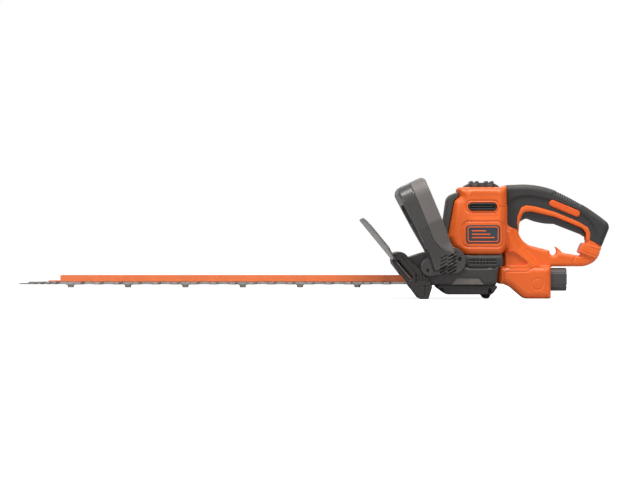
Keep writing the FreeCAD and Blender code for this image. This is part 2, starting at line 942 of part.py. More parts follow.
def blade_fasteners():
    """Bolts drop through the bar and both blades; washers and nuts hold the blades up from below."""
    seat = s.bar_floor + s.bar_skin
    shank = seat - s.bolt_foot
    profile = [
        (0, 0), (s.bolt_radius, 0), (s.bolt_radius, shank), (s.bolt_head_radius, shank),
        (s.bolt_head_radius, shank + s.bolt_head_height), (0, shank + s.bolt_head_height),
    ]
    keep("blade_bolts", group("bolts", [
        turned(f"bolt_{i}", profile, x, 0, s.bolt_foot) for i, x in enumerate(bolt_places())
    ]))
    washers, nuts = [], []
    for i, x in enumerate(bolt_places()):
        low = s.washer_top - s.washer_thick
        disc = rod(f"washer_disc_{i}", s.washer_radius, s.washer_thick, x, 0, low)
        hole = rod(f"washer_hole_{i}", s.bolt_radius, s.washer_thick, x, 0, low)
        washers.append(cut(f"washer_{i}", disc, hole))
        hexagon = DOC.addObject("Part::Prism", f"nut_hexagon_{i}")
        hexagon.Polygon = 6
        hexagon.Circumradius = s.nut_circumradius.value
        hexagon.setExpression("Circumradius", s.nut_circumradius.text)
        height = low - s.bolt_foot
        hexagon.Height = height.value
        hexagon.setExpression("Height", height.text)
        place(hexagon, x, 0, s.bolt_foot)
        thread = rod(f"nut_thread_{i}", s.bolt_radius, height, x, 0, s.bolt_foot)
        nuts.append(cut(f"nut_{i}", hexagon, thread))
    keep("blade_washers", group("washers", washers))
    keep("blade_nuts", group("nuts", nuts))


# ---------------------------------------------------------------- gear train
def gear_wire(teeth, addendum, dedendum, shift, first_tooth_deg):
    """A spur gear's outline, centred on the origin: involute flanks with a little backlash."""
    module, pressure, backlash, steps = s.gear_module.value, math.radians(20), 0.16, 5
    pitch_radius = module * teeth / 2
    base, outer, root = pitch_radius * math.cos(pressure), pitch_radius + addendum, pitch_radius - dedendum
    half_tooth = math.pi / (2 * teeth) + 2 * shift * math.tan(pressure) / teeth
    half_tooth -= backlash / (2 * pitch_radius)
    start = max(base, root)
    flank = []
    for i in range(steps):
        radius = start + (outer - start) * i / (steps - 1)
        roll = math.acos(min(1.0, base / radius))
        spread = half_tooth + (math.tan(pressure) - pressure) - (math.tan(roll) - roll)
        flank.append((radius, spread))
    if root < base:
        flank.insert(0, (root, flank[0][1]))
    points = []
    for k in range(teeth):
        middle = math.radians(first_tooth_deg) + 2 * math.pi * k / teeth
        for radius, spread in flank:
            points.append(Vector(radius * math.cos(middle - spread), radius * math.sin(middle - spread), 0))
        for radius, spread in reversed(flank):
            points.append(Vector(radius * math.cos(middle + spread), radius * math.sin(middle + spread), 0))
    return Part.makePolygon(points + points[:1])


def gear_solid(wire, centre_x, floor, height, bore):
    disc = Part.Face(wire).extrude(Vector(0, 0, height))
    disc = disc.cut(Part.makeCylinder(bore, height))
    disc.translate(Vector(centre_x, 0, floor))
    return disc


def gear_train():
    """Pinion on the motor shaft, spur gear on its spindle and the two cams, half a turn apart."""
    teeth, pinion_teeth = int(s.gear_teeth.value), int(s.pinion_teeth.value)
    module = s.gear_module.value
    # The small pinion is profile-shifted so that it isn't undercut, and the gear gives up as much.
    pinion = gear_wire(pinion_teeth, 1.2 * module, 0.95 * module, 0.3, 180.0)
    wheel = gear_wire(teeth, 0.6 * module, 1.5 * module, -0.3, 180.0 / teeth)
    keep("pinion", made_by_hand("pinion_teeth", gear_solid(
        pinion, s.motor_x.value, s.pinion_floor.value, s.pinion_length.value, s.shaft_radius.value * 0.6)))
    disc = gear_solid(wheel, s.gear_x.value, s.gear_floor.value, s.gear_thick.value, s.spindle_radius.value)
    web_radius = s.gear_module.value * (teeth / 2 - 4)
    hollow = Part.makeCylinder(web_radius, s.gear_thick.value / 3, Vector(
        s.gear_x.value, 0, s.gear_floor.value + s.gear_thick.value * 2 / 3))
    foot = Vector(s.gear_x.value, 0, s.gear_floor.value)
    hub = Part.makeCylinder(s.hub_radius.value, s.gear_thick.value, foot)
    keep("drive_gear", made_by_hand("drive_gear_teeth", disc.cut(hollow.cut(hub))))
    spindle = [
        (0, s.spindle_floor), (s.spindle_radius, s.spindle_floor),
        (s.spindle_radius, s.spindle_top), (0, s.spindle_top),
    ]
    keep("gear_spindle", turned("spindle", spindle, s.gear_x, 0, 0))
    cam("upper_cam", s.upper_blade_floor, s.gear_floor, RIGHT)
    cam("lower_cam", s.blade_floor, s.upper_blade_floor, LEFT)


def cam(label, floor, top, side):
    """A round cam set off by the throw. The gap to the next cam or the gear is its spacer collar."""
    disc_top = floor + s.blade_thick
    disc = rod(f"{label}_disc", s.cam_radius, s.blade_thick, s.gear_x, s.throw * side, floor)
    collar = rod(f"{label}_collar", s.spindle_radius + 1, top - disc_top, s.gear_x, 0, disc_top)
    bore = rod(f"{label}_bore", s.spindle_radius, top - floor, s.gear_x, 0, floor)
    keep(label, cut(f"{label}_cut", fuse(f"{label}_solid", disc, collar), bore))


# ---------------------------------------------------------------- motor
def motor():
    shaft = [
        (0, s.pinion_floor), (s.shaft_radius * 0.6, s.pinion_floor),
        (s.shaft_radius * 0.6, s.pinion_floor + s.pinion_length),
        (s.shaft_radius, s.pinion_floor + s.pinion_length), (s.shaft_radius, s.shaft_top), (0, s.shaft_top),
    ]
    keep("armature_shaft", turned("armature_shaft_body", shaft, s.motor_x, 0, 0))
    ring("armature_core", s.rotor_radius, s.shaft_radius, s.stator_floor, s.stator_height)
    ring("commutator", s.commutator_radius, s.shaft_radius, s.commutator_floor, s.commutator_height)
    armature_windings()
    ring("stator_core", s.stator_radius, s.stator_bore, s.stator_floor, s.stator_height)
    field_coils()
    cooling_fan()
    brushes()
    bearing("upper_motor_bearing", s.upper_bearing_floor)
    bearing("lower_motor_bearing", s.plate_floor)


def ring(label, outer, inner, floor, height):
    whole = rod(f"{label}_whole", outer, height, s.motor_x, 0, floor)
    bore = rod(f"{label}_bore", inner, height, s.motor_x, 0, floor)
    return keep(label, cut(f"{label}_cut", whole, bore))


def armature_windings():
    """The copper end turns above and below the armature's core."""
    top = s.stator_floor + s.stator_height
    ends = []
    for name, low in (("lower", s.stator_floor - s.coil_height), ("upper", top)):
        whole = rod(f"winding_{name}", s.rotor_radius - 1.5, s.coil_height, s.motor_x, 0, low)
        bore = rod(f"winding_{name}_bore", s.shaft_radius, s.coil_height, s.motor_x, 0, low)
        ends.append(cut(f"winding_{name}_cut", whole, bore))
    keep("armature_windings", group("windings", ends))


def field_coils():
    """Four saddle ends of the two field coils, above and below the stator."""
    top = s.stator_floor + s.stator_height
    ends = []
    for level, low in (("lower", s.stator_floor - s.coil_height), ("upper", top)):
        whole = rod(f"coil_{level}", s.stator_radius - 3, s.coil_height, s.motor_x, 0, low)
        bore = rod(f"coil_{level}_bore", s.rotor_radius + 1.5, s.coil_height, s.motor_x, 0, low)
        gap = block(f"coil_{level}_gap", (s.motor_x - 5, -s.stator_radius, low),
                    (s.motor_x + 5, s.stator_radius, low + s.coil_height))
        ends.append(cut(f"coil_{level}_cut", whole, bore, gap))
    keep("field_coils", group("coils", ends))


def cooling_fan():
    """A flat hub with straight vanes that stand on it."""
    body = Body("cooling_fan")
    hub_top = s.fan_floor + s.fan_height / 4
    body.add("Z", [circle(0, 0, s.fan_radius), circle(0, 0, s.shaft_radius)], s.fan_floor, hub_top)
    vane_outline = rectangle(s.shaft_radius + 4, s.fan_radius - 1, -0.9, 0.9)
    vane = body.add("Z", [vane_outline], hub_top, s.fan_floor + s.fan_height)
    polar = body.body.newObject("PartDesign::PolarPattern", "cooling_fan_vanes")
    polar.Originals = [vane]
    polar.Axis = (vane.Profile[0], ["N_Axis"])
    polar.Angle = 360
    polar.Occurrences = int(s.fan_blades.value)
    polar.setExpression("Occurrences", s.fan_blades.text)
    body.body.Tip = polar
    place(body.body, s.motor_x, 0, 0)
    body.done()


def brushes():
    """Two carbon brushes on the commutator, each in a brass box holder."""
    middle_z = s.commutator_floor + s.commutator_height / 2
    half, holder_half = s.brush_width / 2, s.brush_width / 2 + s.holder_skin
    carbons, holders, springs = [], [], []
    for name, side in SIDES.items():
        near = s.commutator_radius + s.running_gap
        low, high = span(side, near, near + s.brush_length)
        carbons.append(block(f"carbon_{name}", (s.motor_x - half, low, middle_z - half),
                             (s.motor_x + half, high, middle_z + half)))
        low, high = span(side, near + 2, s.motor_half - s.motor_skin)
        case = block(f"holder_{name}", (s.motor_x - holder_half, low, middle_z - holder_half),
                     (s.motor_x + holder_half, high, middle_z + holder_half))
        bore = block(f"holder_{name}_bore", (s.motor_x - half, low, middle_z - half),
                     (s.motor_x + half, high, middle_z + half))
        holders.append(cut(f"holder_{name}_cut", case, bore))
        spring_start = near + s.brush_length + s.spring_end_gap
        spring_end = s.motor_half - s.motor_skin - s.spring_end_gap
        springs.append(brush_spring(side, spring_start, spring_end, middle_z))
    keep("carbon_brushes", group("carbons", carbons))
    keep("brush_springs", made_by_hand("brush_spring_coils", Part.makeCompound(springs)))
    keep("brush_holders", group("holders", holders))


def coil_spring(length, radius, wire, turns):
    """An open coil that stands on the origin along +Z."""
    path = Part.makeHelix((length - 2 * wire) / turns, length - 2 * wire, radius)
    section = Part.Wire(Part.makeCircle(wire, Vector(radius, 0, 0), Vector(0, 1, 0)))
    spring = Part.Wire(path).makePipeShell([section], True, True)
    spring.translate(Vector(0, 0, wire))
    return spring


def brush_spring(side, near, far, middle_z):
    length = (far - near).value
    sizes = (s.brush_spring_radius.value, s.brush_spring_wire.value, s.brush_spring_turns.value)
    spring = coil_spring(length, *sizes)
    turn = Rotation(Vector(0, 0, 1), Vector(0, side, 0))
    spring.Placement = Placement(Vector(s.motor_x.value, side * near.value, middle_z.value), turn)
    return spring


def bearing(label, floor):
    whole = rod(f"{label}_whole", s.bearing_radius, s.bearing_height, s.motor_x, 0, floor)
    bore = rod(f"{label}_bore", s.shaft_radius + s.running_gap, s.bearing_height, s.motor_x, 0, floor)
    keep(label, cut(f"{label}_cut", whole, bore))


def motor_plate():
    """The plate between gears and motor: it holds the shaft's lower bearing and the spindle's upper bush."""
    body = Body("motor_plate")
    low_x, high_x = s.cavity_start_x + 0.5, s.cavity_end_x - 0.5
    half, top = s.case_half - s.case_skin, s.plate_floor + s.plate_thick
    body.add("Z", [rounded(low_x, high_x, -half, half, 6)], s.plate_floor, top)
    body.add("Z", [circle(s.motor_x, 0, s.bearing_radius + 3)], top, s.plate_floor + s.bearing_height)
    body.cut("Z", [circle(s.motor_x, 0, s.bearing_radius)], s.plate_floor, s.plate_floor + s.bearing_height)
    body.cut("Z", [circle(s.gear_x, 0, s.bush_radius)], s.plate_floor, top)
    body.done()
    bush("upper_spindle_bush", s.plate_floor, s.plate_thick)
    bush("lower_spindle_bush", s.spindle_floor, s.bush_height)


def bush(label, floor, height):
    whole = rod(f"{label}_whole", s.bush_radius, height, s.gear_x, 0, floor)
    bore = rod(f"{label}_bore", s.spindle_radius + s.running_gap, height, s.gear_x, 0, floor)
    keep(label, cut(f"{label}_cut", whole, bore))


# ---------------------------------------------------------------- gear case, cover and bracket
def gear_case():
    """The black upper case: blade tunnel in front, gear room behind, open underneath."""
    body = Body("gear_case")
    body.add("Y", [s.outline("case")], -s.case_half, s.case_half)
    flank = at_plane("y", s.case_half)
    body.round_edges(s.case_round, lambda edge: flank(edge) and edge.BoundBox.XMax > s.case_brow_x.value + 1)
    inner = s.case_half - s.case_skin
    body.cut("Z", [rectangle(s.cavity_start_x, s.cavity_end_x, -inner, inner)], s.case_split, s.case_ceiling)
    tunnel = rectangle(-s.tunnel_half, s.tunnel_half, s.case_split - 1, s.tunnel_top)
    body.cut("X", [tunnel], s.case_nose_x - 10, s.cavity_start_x + 1)
    body.add("Z", [circle(x, y, s.boss_radius) for x, y in boss_places()], s.case_split, s.plate_floor)
    body.cut("Z", [circle(x, y, s.screw_radius) for x, y in boss_places()], s.case_split, s.cover_screw_top)
    body.cut("Z", [circle(s.motor_x, 0, s.bearing_radius + 4)], s.case_ceiling - 1, s.case_ceiling + 20)
    body.cut("Z", foot_screw_holes(), s.bar_floor, s.bar_screw_top)
    for side in SIDES.values():
        holes = [circle(x, z, s.screw_radius) for x, z in handle_screw_places()]
        body.cut("Y", holes, *span(side, s.case_half - s.case_skin, s.case_half))
        low, high = span(side, s.case_half - s.vent_depth, s.case_half + 1)
        body.cut("Y", [pill(s.grille_x, s.grille_z, s.grille_length, s.grille_height)], low, high)
        body.cut("Y", [s.outline("label")], low, high)
    return body.done()


def gear_cover():
    """The bottom cover: ramped nose, rear foot, and the boss for the spindle's lower bush."""
    body = Body("gear_cover")
    body.add("Y", [s.outline("cover")], -s.cover_half, s.cover_half)
    body.round_edges(s.cover_round, at_plane("y", s.cover_half))
    body.add("Y", [s.outline("foot")], -s.foot_width_half, s.foot_width_half)
    inner = s.cover_half - s.cover_skin
    room = rectangle(s.cover_start_x + 8, s.cover_end_x, -inner, inner)
    boss = circle(s.gear_x, 0, s.bush_flange + 2)
    body.cut("Z", [room, boss], s.cover_floor + s.cover_skin, s.case_split)
    body.cut("Z", [circle(s.gear_x, 0, s.cam_radius + s.throw + 1)],
             s.spindle_floor + s.bush_height, s.case_split)
    body.cut("Z", [circle(s.gear_x, 0, s.bush_radius)], s.spindle_floor, s.spindle_floor + s.bush_height)
    cover_boss = s.cover_half - s.boss_y
    body.add("Z", [circle(x, y, cover_boss) for x, y in boss_places()[2:]], s.cover_floor, s.case_split)
    body.cut("Z", [circle(x, y, s.screw_radius) for x, y in boss_places()], 0, s.case_split)
    head_floor = s.cover_screw_seat - s.screw_head_height
    body.cut("Z", [circle(x, y, s.screw_head_radius) for x, y in boss_places()], 0, s.cover_screw_seat)
    body.done()
    profile = [
        (0, head_floor), (s.screw_head_radius, head_floor), (s.screw_head_radius, s.cover_screw_seat),
        (s.screw_radius, s.cover_screw_seat), (s.screw_radius, s.cover_screw_top), (0, s.cover_screw_top),
    ]
    keep("cover_screws", group("cover_screw_set", [
        turned(f"cover_screw_{i}", profile, x, y, 0) for i, (x, y) in enumerate(boss_places())
    ]))


def boss_places():
    """The screw bosses, two in front and two behind."""
    return [(x, s.boss_y * side) for x in (s.boss_front_x, s.boss_rear_x) for side in SIDES.values()]


def guard_bracket(slot):
    """The black bracket at the case's nose, with the blade window and a bowed slot for the guard."""
    body = Body("guard_bracket_block")
    body.add("Y", [s.outline("bracket")], -s.bracket_half, s.bracket_half)
    body.cut("X", [rectangle(-s.window_half, s.window_half, s.window_floor, s.window_top)], 100, 180)
    body.cut("Y", [s.outline("case")], -s.case_half, s.case_half)
    body.cut("Z", foot_screw_holes(), s.bar_floor, s.bar_screw_top)
    seats = [disc_hull(side, s.case_half.value, s.handle_wide_half.value) for side in SIDES.values()]
    seat_shape = made_by_hand("handle_seats", Part.makeCompound(seats))
    keep("guard_bracket", cut("guard_bracket_cut", body.body, slot, seat_shape))


def guard_frame():
    """The guard's own frame: X across the tool, Y up its slope, Z out of its front."""
    top = Vector(s.guard_top_x.value, 0, s.guard_top_z.value)
    foot = Vector(s.guard_foot_x.value, 0, s.guard_foot_z.value)
    up = (top - foot).normalize()
    across = Vector(0, 1, 0)
    return foot, up, across.cross(up), (top - foot).Length


def bowed_sheet(thick, extra):
    """A sheet bowed forwards in the middle, centred in the guard's plane."""
    foot, up, out, height = guard_frame()
    half, bow = s.guard_half.value + extra, s.guard_bow.value
    faces = []
    for depth in (thick / 2, -thick / 2):
        mid = foot - out * depth
        ends = [mid + Vector(0, side * half, 0) + out * bow for side in (LEFT, RIGHT)]
        faces.append((ends[0], mid, ends[1]))
    front, back = faces
    wire = Part.Wire([
        Part.Arc(*front).toShape(), Part.makeLine(front[2], back[2]),
        Part.Arc(back[2], back[1], back[0]).toShape(), Part.makeLine(back[0], front[0]),
    ])
    return Part.Face(wire).extrude(up * height), up, out, foot, height


def guard():
    """The clear shield: a bowed sheet with round top corners, and a notch over the blade bar."""
    sheet, up, out, foot, height = bowed_sheet(s.guard_thick.value, 1.0)
    half, corner = s.guard_half.value, s.guard_corner.value
    shoulder, low_half = s.guard_shoulder_height.value, s.guard_shoulder_half.value - 2
    notch, notch_top = s.guard_notch_half.value, s.guard_notch_height.value

    def on_sheet(y, rise):
        return foot + Vector(0, y, 0) + up * rise

    def side_points(side):
        return [
            on_sheet(side * notch, notch_top), on_sheet(side * notch, 0.0), on_sheet(side * low_half, 0.0),
            on_sheet(side * low_half, shoulder), on_sheet(side * half, shoulder + corner),
            on_sheet(side * half, height - corner),
        ]

    right, left = side_points(RIGHT), side_points(LEFT)
    diagonal = corner * (1 - math.sqrt(0.5))
    arcs = [
        Part.Arc(right[-1], on_sheet(half - diagonal, height - diagonal), on_sheet(half - corner, height)),
        Part.Arc(on_sheet(-half + corner, height), on_sheet(-half + diagonal, height - diagonal), left[-1]),
    ]
    lines = [Part.makeLine(a, b) for a, b in zip(right, right[1:])]
    top_line = Part.makeLine(on_sheet(half - corner, height), on_sheet(-half + corner, height))
    back_lines = [Part.makeLine(a, b) for a, b in zip(left[::-1], left[::-1][1:])]
    closing = Part.makeLine(left[0], right[0])
    wire = Part.Wire([*lines, arcs[0].toShape(), top_line, arcs[1].toShape(), *back_lines, closing])
    plug = Part.Face(wire)
    plug.translate(out * -30)
    shape = plug.extrude(out * 60).common(sheet)
    keep("hand_guard", made_by_hand("hand_guard_sheet", shape))
    slot, *_ = bowed_sheet(s.guard_thick.value + 2 * s.guard_slot_gap.value, 5.0)
    slot.translate(up * -s.guard_slot_gap.value)
    return made_by_hand("guard_slot", slot)


# ---------------------------------------------------------------- front handle
def flat_wire(outline):
    """An outline from the sheet as a closed wire in the XZ plane."""
    corners = closed_corners(outline)
    edges = []
    for i, corner in enumerate(corners):
        shape, _ = edge(corner, corners[(i + 1) % len(corners)])
        edges.append(shape.toShape())
    wire = Part.Wire(Part.__sortEdges__(edges))
    wire.rotate(Vector(), Vector(1, 0, 0), 90)
    return wire


def slab(wire, half):
    """A flat wire in the XZ plane made thick to both sides of the middle plane."""
    face = Part.Face(wire)
    face.translate(Vector(0, -half, 0))
    return face.extrude(Vector(0, 2 * half, 0))


def bail_front_view(inset):
    """The handle seen square on: legs that flare out from the base, and a straight top bar."""
    outer, base = s.handle_wide_half.value - inset, s.handle_inner_half.value + inset
    leg, bar = s.handle_leg_thick.value, s.handle_bar_thick.value
    flare_low, flare_high = s.handle_flare_start.value, s.handle_flare_end.value
    top, corner = s.handle_top.value - inset, s.handle_corner.value - inset
    foot_outer = base + leg - 2 * inset
    inner, inner_corner = s.handle_wide_half.value - leg + inset, 12.0 + inset
    inner_top = s.handle_top.value - bar + inset
    low = -14.0

    def half_outline(side):
        return [
            Vector(side * base, low, 0), Vector(side * foot_outer, low, 0),
            Vector(side * foot_outer, flare_low, 0), Vector(side * outer, flare_high, 0),
            Vector(side * outer, top - corner, 0),
        ]

    def corner_arc(side, x, y, radius):
        dx = radius * (1 - math.sqrt(0.5))
        return Vector(side * (x - dx), y - dx, 0)

    right, left = half_outline(RIGHT), half_outline(LEFT)
    outer_side = [Part.makeLine(a, b) for a, b in zip(right, right[1:])]
    outer_side.append(Part.Arc(right[-1], corner_arc(RIGHT, outer, top, corner),
                               Vector(outer - corner, top, 0)).toShape())
    outer_side.append(Part.makeLine(Vector(outer - corner, top, 0), Vector(corner - outer, top, 0)))
    outer_side.append(Part.Arc(Vector(corner - outer, top, 0), corner_arc(LEFT, outer, top, corner),
                               left[-1]).toShape())
    outer_side += [Part.makeLine(a, b) for a, b in zip(left[::-1], left[::-1][1:])]
    flare_in_low, flare_in_high = flare_low + 4, flare_high + 8
    inside = [
        Vector(-base, flare_in_low, 0), Vector(-inner, flare_in_high, 0),
        Vector(-inner, inner_top - inner_corner, 0),
    ]
    other = [Vector(-p.x, p.y, 0) for p in inside]
    run = [Part.makeLine(a, b) for a, b in zip([left[0], *inside], inside)]
    run.append(Part.Arc(inside[2], corner_arc(LEFT, inner, inner_top, inner_corner),
                        Vector(-inner + inner_corner, inner_top, 0)).toShape())
    top_left, top_right = (Vector(side * (inner - inner_corner), inner_top, 0) for side in (LEFT, RIGHT))
    run.append(Part.makeLine(top_left, top_right))
    bend = corner_arc(RIGHT, inner, inner_top, inner_corner)
    run.append(Part.Arc(top_right, bend, other[2]).toShape())
    run += [Part.makeLine(a, b) for a, b in zip(other[::-1], [other[1], other[0], right[0]])]
    wire = Part.Wire(Part.__sortEdges__(outer_side + run))
    prism = Part.Face(wire).extrude(Vector(0, 0, 140))
    prism.translate(Vector(0, 0, -70))
    # The view's X runs along the tool's Y, its Y up the tilted handle.
    prism.Placement = Placement(
        Vector(s.handle_base_x.value, 0, s.handle_base_z.value),
        Rotation(Vector(0, 1, 0), -s.handle_tilt.value) * Rotation(Vector(1, 1, 1), 120)
    ) * prism.Placement
    return prism


def disc_hull(side, near, far):
    """The base flange's plan, a big and a small disc joined by their outer tangents, made thick along Y."""
    big = Vector(s.big_disc_x.value, 0, s.big_disc_z.value)
    small = Vector(s.small_disc_x.value, 0, s.small_disc_z.value)
    big_radius, small_radius = s.big_disc_radius.value, s.small_disc_radius.value
    gap = (big - small).Length
    along = (big - small) / gap
    up = Vector(-along.z, 0, along.x)
    lean = (small_radius - big_radius) / gap
    rise = math.sqrt(1 - lean**2)

    def touch(centre, radius, sign):
        return centre - along * (lean * -radius) * -1 + up * (sign * rise * radius)

    corners = [touch(small, small_radius, 1), touch(big, big_radius, 1), touch(big, big_radius, -1),
               touch(small, small_radius, -1)]
    wire = Part.Wire([
        Part.makeLine(corners[0], corners[1]),
        Part.Arc(corners[1], big + along * big_radius, corners[2]).toShape(),
        Part.makeLine(corners[2], corners[3]),
        Part.Arc(corners[3], small - along * small_radius, corners[0]).toShape(),
    ])
    face = Part.Face(wire)
    face.translate(Vector(0, side * near, 0))
    return face.extrude(Vector(0, side * (far - near), 0))


def front_handle():
    """The bail handle in two hollow shells that meet along a seam, on a screwed flange at each side."""
    view = bail_front_view(0.0)
    hollow_view = bail_front_view(s.handle_skin.value)
    wide = s.handle_wide_half.value + 5
    front = slab(flat_wire(s.outline("shell_front")), wide).common(view)
    rear = slab(flat_wire(s.outline("shell_rear")), wide).common(view)
    near = s.handle_inner_half.value
    for side in SIDES.values():
        front = front.fuse(disc_hull(side, near, near + s.handle_flange_thick.value))
    rear = rear.cut(front)
    screws = [screw_at(x, z, side) for x, z in handle_screw_places() for side in SIDES.values()]
    for hole in screws:
        front = front.cut(hole)
    cavities = []
    for name in ("shell_front", "shell_rear"):
        wire = flat_wire(s.outline(name)).makeOffset2D(-s.handle_skin.value)
        cavities.append(slab(wire, wide).common(hollow_view))
    keep("front_handle_shell", made_by_hand("front_shell", front.removeSplitter().cut(cavities[0])))
    keep("front_handle_cover", made_by_hand("rear_shell", rear.cut(cavities[1])))
    keep("front_handle_screws", made_by_hand("handle_screws", Part.makeCompound(screws)))


def handle_screw_places():
    lower = (s.handle_screw_low_x.value, s.handle_screw_low_z.value)
    return [lower, (s.handle_screw_high_x.value, s.handle_screw_high_z.value)]


def screw_at(x, z, side):
    """A pan-head screw driven in from one side, its head on the handle's flange."""
    out = Vector(0, side, 0)
    seat = s.handle_inner_half.value + s.handle_flange_thick.value - s.screw_head_height.value
    foot = Vector(x, side * seat, z)
    head = Part.makeCylinder(s.screw_head_radius.value, s.screw_head_height.value, foot, out)
    shank = Part.makeCylinder(s.screw_radius.value, s.screw_length.value, foot, out * -1)
    return head.fuse(shank)


# ---------------------------------------------------------------- motor housing and rear handle
def housing(name, side):
    """One half of the orange clamshell: motor block, web, rear handle frame and plug cowl."""
    body = Body(f"{name}_housing")
    body.add("Y", [s.outline("motor")], *span(side, 0, s.motor_half))
    body.add("Y", [s.outline("cowl")], *span(side, 0, s.cowl_half))
    body.add("Y", [s.outline("web")], *span(side, 0, s.web_half))
    body.add("Y", [s.outline("frame"), s.outline("loop")], *span(side, 0, s.frame_half))
    body.add("Y", [s.outline("hook")], *span(side, 0, s.frame_half / 2))
    body.cut("Y", [circle(s.hook_slot_x, s.hook_slot_z, s.hook_slot_radius)], *span(side, 0, s.frame_half))
    body.cut("Y", [s.outline("motor_cavity")], *span(side, 0, s.motor_half - s.motor_skin))
    motor_supports(body, side)
    body.cut("Y", [s.outline("hollow")], *span(side, 0, s.hollow_half))
    neck = rectangle(s.neck_start_x, s.neck_end_x, s.neck_floor, s.neck_top)
    body.cut("Y", [neck], *span(side, 0, s.hollow_half))
    body.cut("Y", [s.outline("wire_room")], *span(side, 0, s.hollow_half))
    inlet = rectangle(s.inlet_start_x, s.inlet_end_x, s.inlet_floor, s.inlet_top)
    body.cut("Y", [inlet], *span(side, 0, s.inlet_half))
    pin_hole = circle(s.trigger_pin_x, s.trigger_pin_z, s.trigger_pin_radius)
    body.cut("Y", [pin_hole], *span(side, 0, s.trigger_pin_half))
    proud = span(side, s.motor_half - s.vent_depth, s.motor_half + 1)
    body.cut("Y", [pill(s.vent_x, s.vent_z, s.vent_length, s.vent_height)], *proud)
    body.cut("Y", [s.outline("recess")], *span(side, s.web_half - 2, s.motor_half))
    body.cut("Y", [circle(x, z, s.screw_radius) for x, z in housing_screw_places()],
             *span(side, 0, s.boss_screw_depth))
    if side == RIGHT:
        body.cut("Y", [circle(x, z, s.screw_head_radius) for x, z in housing_screw_places()],
                 *span(side, s.boss_screw_depth, s.motor_half + 1))
    return body.done()


def motor_supports(body, side):
    """Two cradle ribs around the stator, the seat of the shaft's upper bearing, and the shaft's way in."""
    low_y, high_y = span(side, 0, s.motor_half - 1)
    cradle = rectangle(s.cradle_front_x, s.cradle_rear_x, low_y, high_y)
    top = s.stator_floor + s.stator_height
    for floor in (s.stator_floor + s.cradle_thick, top - 2 * s.cradle_thick):
        body.add("Z", [cradle], floor, floor + s.cradle_thick)
    body.cut("Z", [circle(s.motor_x, 0, s.stator_radius)], s.stator_floor, top)
    body.cut("Z", [circle(s.motor_x, 0, s.bearing_radius)], s.motor_cavity_top_z, s.shaft_top + 1)
    body.cut("Z", [circle(s.motor_x, 0, s.bearing_radius + 4)], s.motor_chin_z - 1, s.motor_cavity_chin_z)


def housing_screw_places():
    return [(282.0, 150.0), (404.0, 100.0), (375.0, 54.5), (291.0, 19.0), (290.0, 90.0)]


def housing_screws():
    profile = [
        (0, -s.boss_screw_depth), (s.screw_radius, -s.boss_screw_depth), (s.screw_radius, s.boss_screw_depth),
        (s.screw_head_radius, s.boss_screw_depth),
        (s.screw_head_radius, s.boss_screw_depth + s.screw_head_height),
        (0, s.boss_screw_depth + s.screw_head_height),
    ]
    keep("housing_screws", group("housing_screw_set", [
        turned(f"housing_screw_{i}", profile, x, 0, z, ALONG_Y)
        for i, (x, z) in enumerate(housing_screw_places())
    ]))


def grip(name, side):
    """One half of the soft grip moulded over the rear handle."""
    body = Body(f"{name}_grip")
    body.add("Y", [s.outline("grip")], *span(side, 0, s.grip_half))
    body.cut("Y", [s.outline("frame")], *span(side, 0, s.frame_half))
    body.cut("Y", [s.outline("accent")], *span(side, s.frame_half, s.grip_half + 1))
    return body.done()


def rear_collar():
    """The band that ties both housing halves together where the handle meets the lower bar."""
    body = Body("rear_collar")
    body.add("Y", [s.outline("collar")], -s.collar_half, s.collar_half)
    body.round_edges(size(3.0), at_plane("y", s.collar_half))
    body.cut("Y", [s.outline("frame"), s.outline("loop")], -s.frame_half, s.frame_half)
    return body.done()


def trigger():
    body = Body("trigger")
    body.add("Y", [s.outline("trigger")], -s.trigger_half, s.trigger_half)
    pin_hole = s.trigger_pin_radius + s.running_gap
    body.cut("Y", [circle(s.trigger_pin_x, s.trigger_pin_z, pin_hole)], -s.trigger_half, s.trigger_half)
    body.done()
    keep("trigger_pin", rod("trigger_pin_rod", s.trigger_pin_radius, 2 * s.trigger_pin_half,
                            s.trigger_pin_x, -s.trigger_pin_half, s.trigger_pin_z, ALONG_Y))
    height = s.spring_top.value - s.spring_floor.value
    spring = coil_spring(height, s.spring_radius.value, s.spring_wire.value, s.spring_turns.value)
    spring.translate(Vector(s.spring_x.value, 0, s.spring_floor.value))
    keep("trigger_spring", made_by_hand("trigger_spring_coil", spring))


def power_switch():
    """The snap switch above the trigger, tilted as the handle is."""
    tilt = Rotation(Vector(0, 1, 0), s.switch_tilt.value)
    half_length, half_height = s.switch_length.value / 2, s.switch_height.value / 2
    half_width = s.hollow_half.value
    shape = Part.makeBox(s.switch_length.value, 2 * half_width, s.switch_height.value,
                         Vector(-half_length, -half_width, -half_height))
    shape.Placement = Placement(Vector(s.switch_x.value, 0, s.switch_z.value), tilt)
    keep("power_switch", made_by_hand("power_switch_box", shape))
    leads = []
    for side in SIDES.values():
        path = [Vector(x, side * s.lead_y.value, z) for x, z in lead_path()]
        line = Part.makePolygon(path)
        start = (path[1] - path[0]).normalize()
        section = Part.Wire(Part.makeCircle(s.lead_radius.value, path[0], start))
        leads.append(line.makePipeShell([section], True, True, 2))
    keep("supply_leads", made_by_hand("supply_lead_pair", Part.makeCompound(leads)))


def lead_path():
    """Where the leads run, from the inlet's back up through the housing to the switch."""
    switch_end = s.switch_x.value - s.switch_length.value / 2
    return [
        (s.inlet_start_x.value, 34.0), (285.0, 38.0), (277.0, 60.0), (275.0, 82.0),
        (271.0, 90.0), (271.0, 128.0), (283.0, 132.0), (299.0, 135.0), (switch_end, 138.0),
    ]


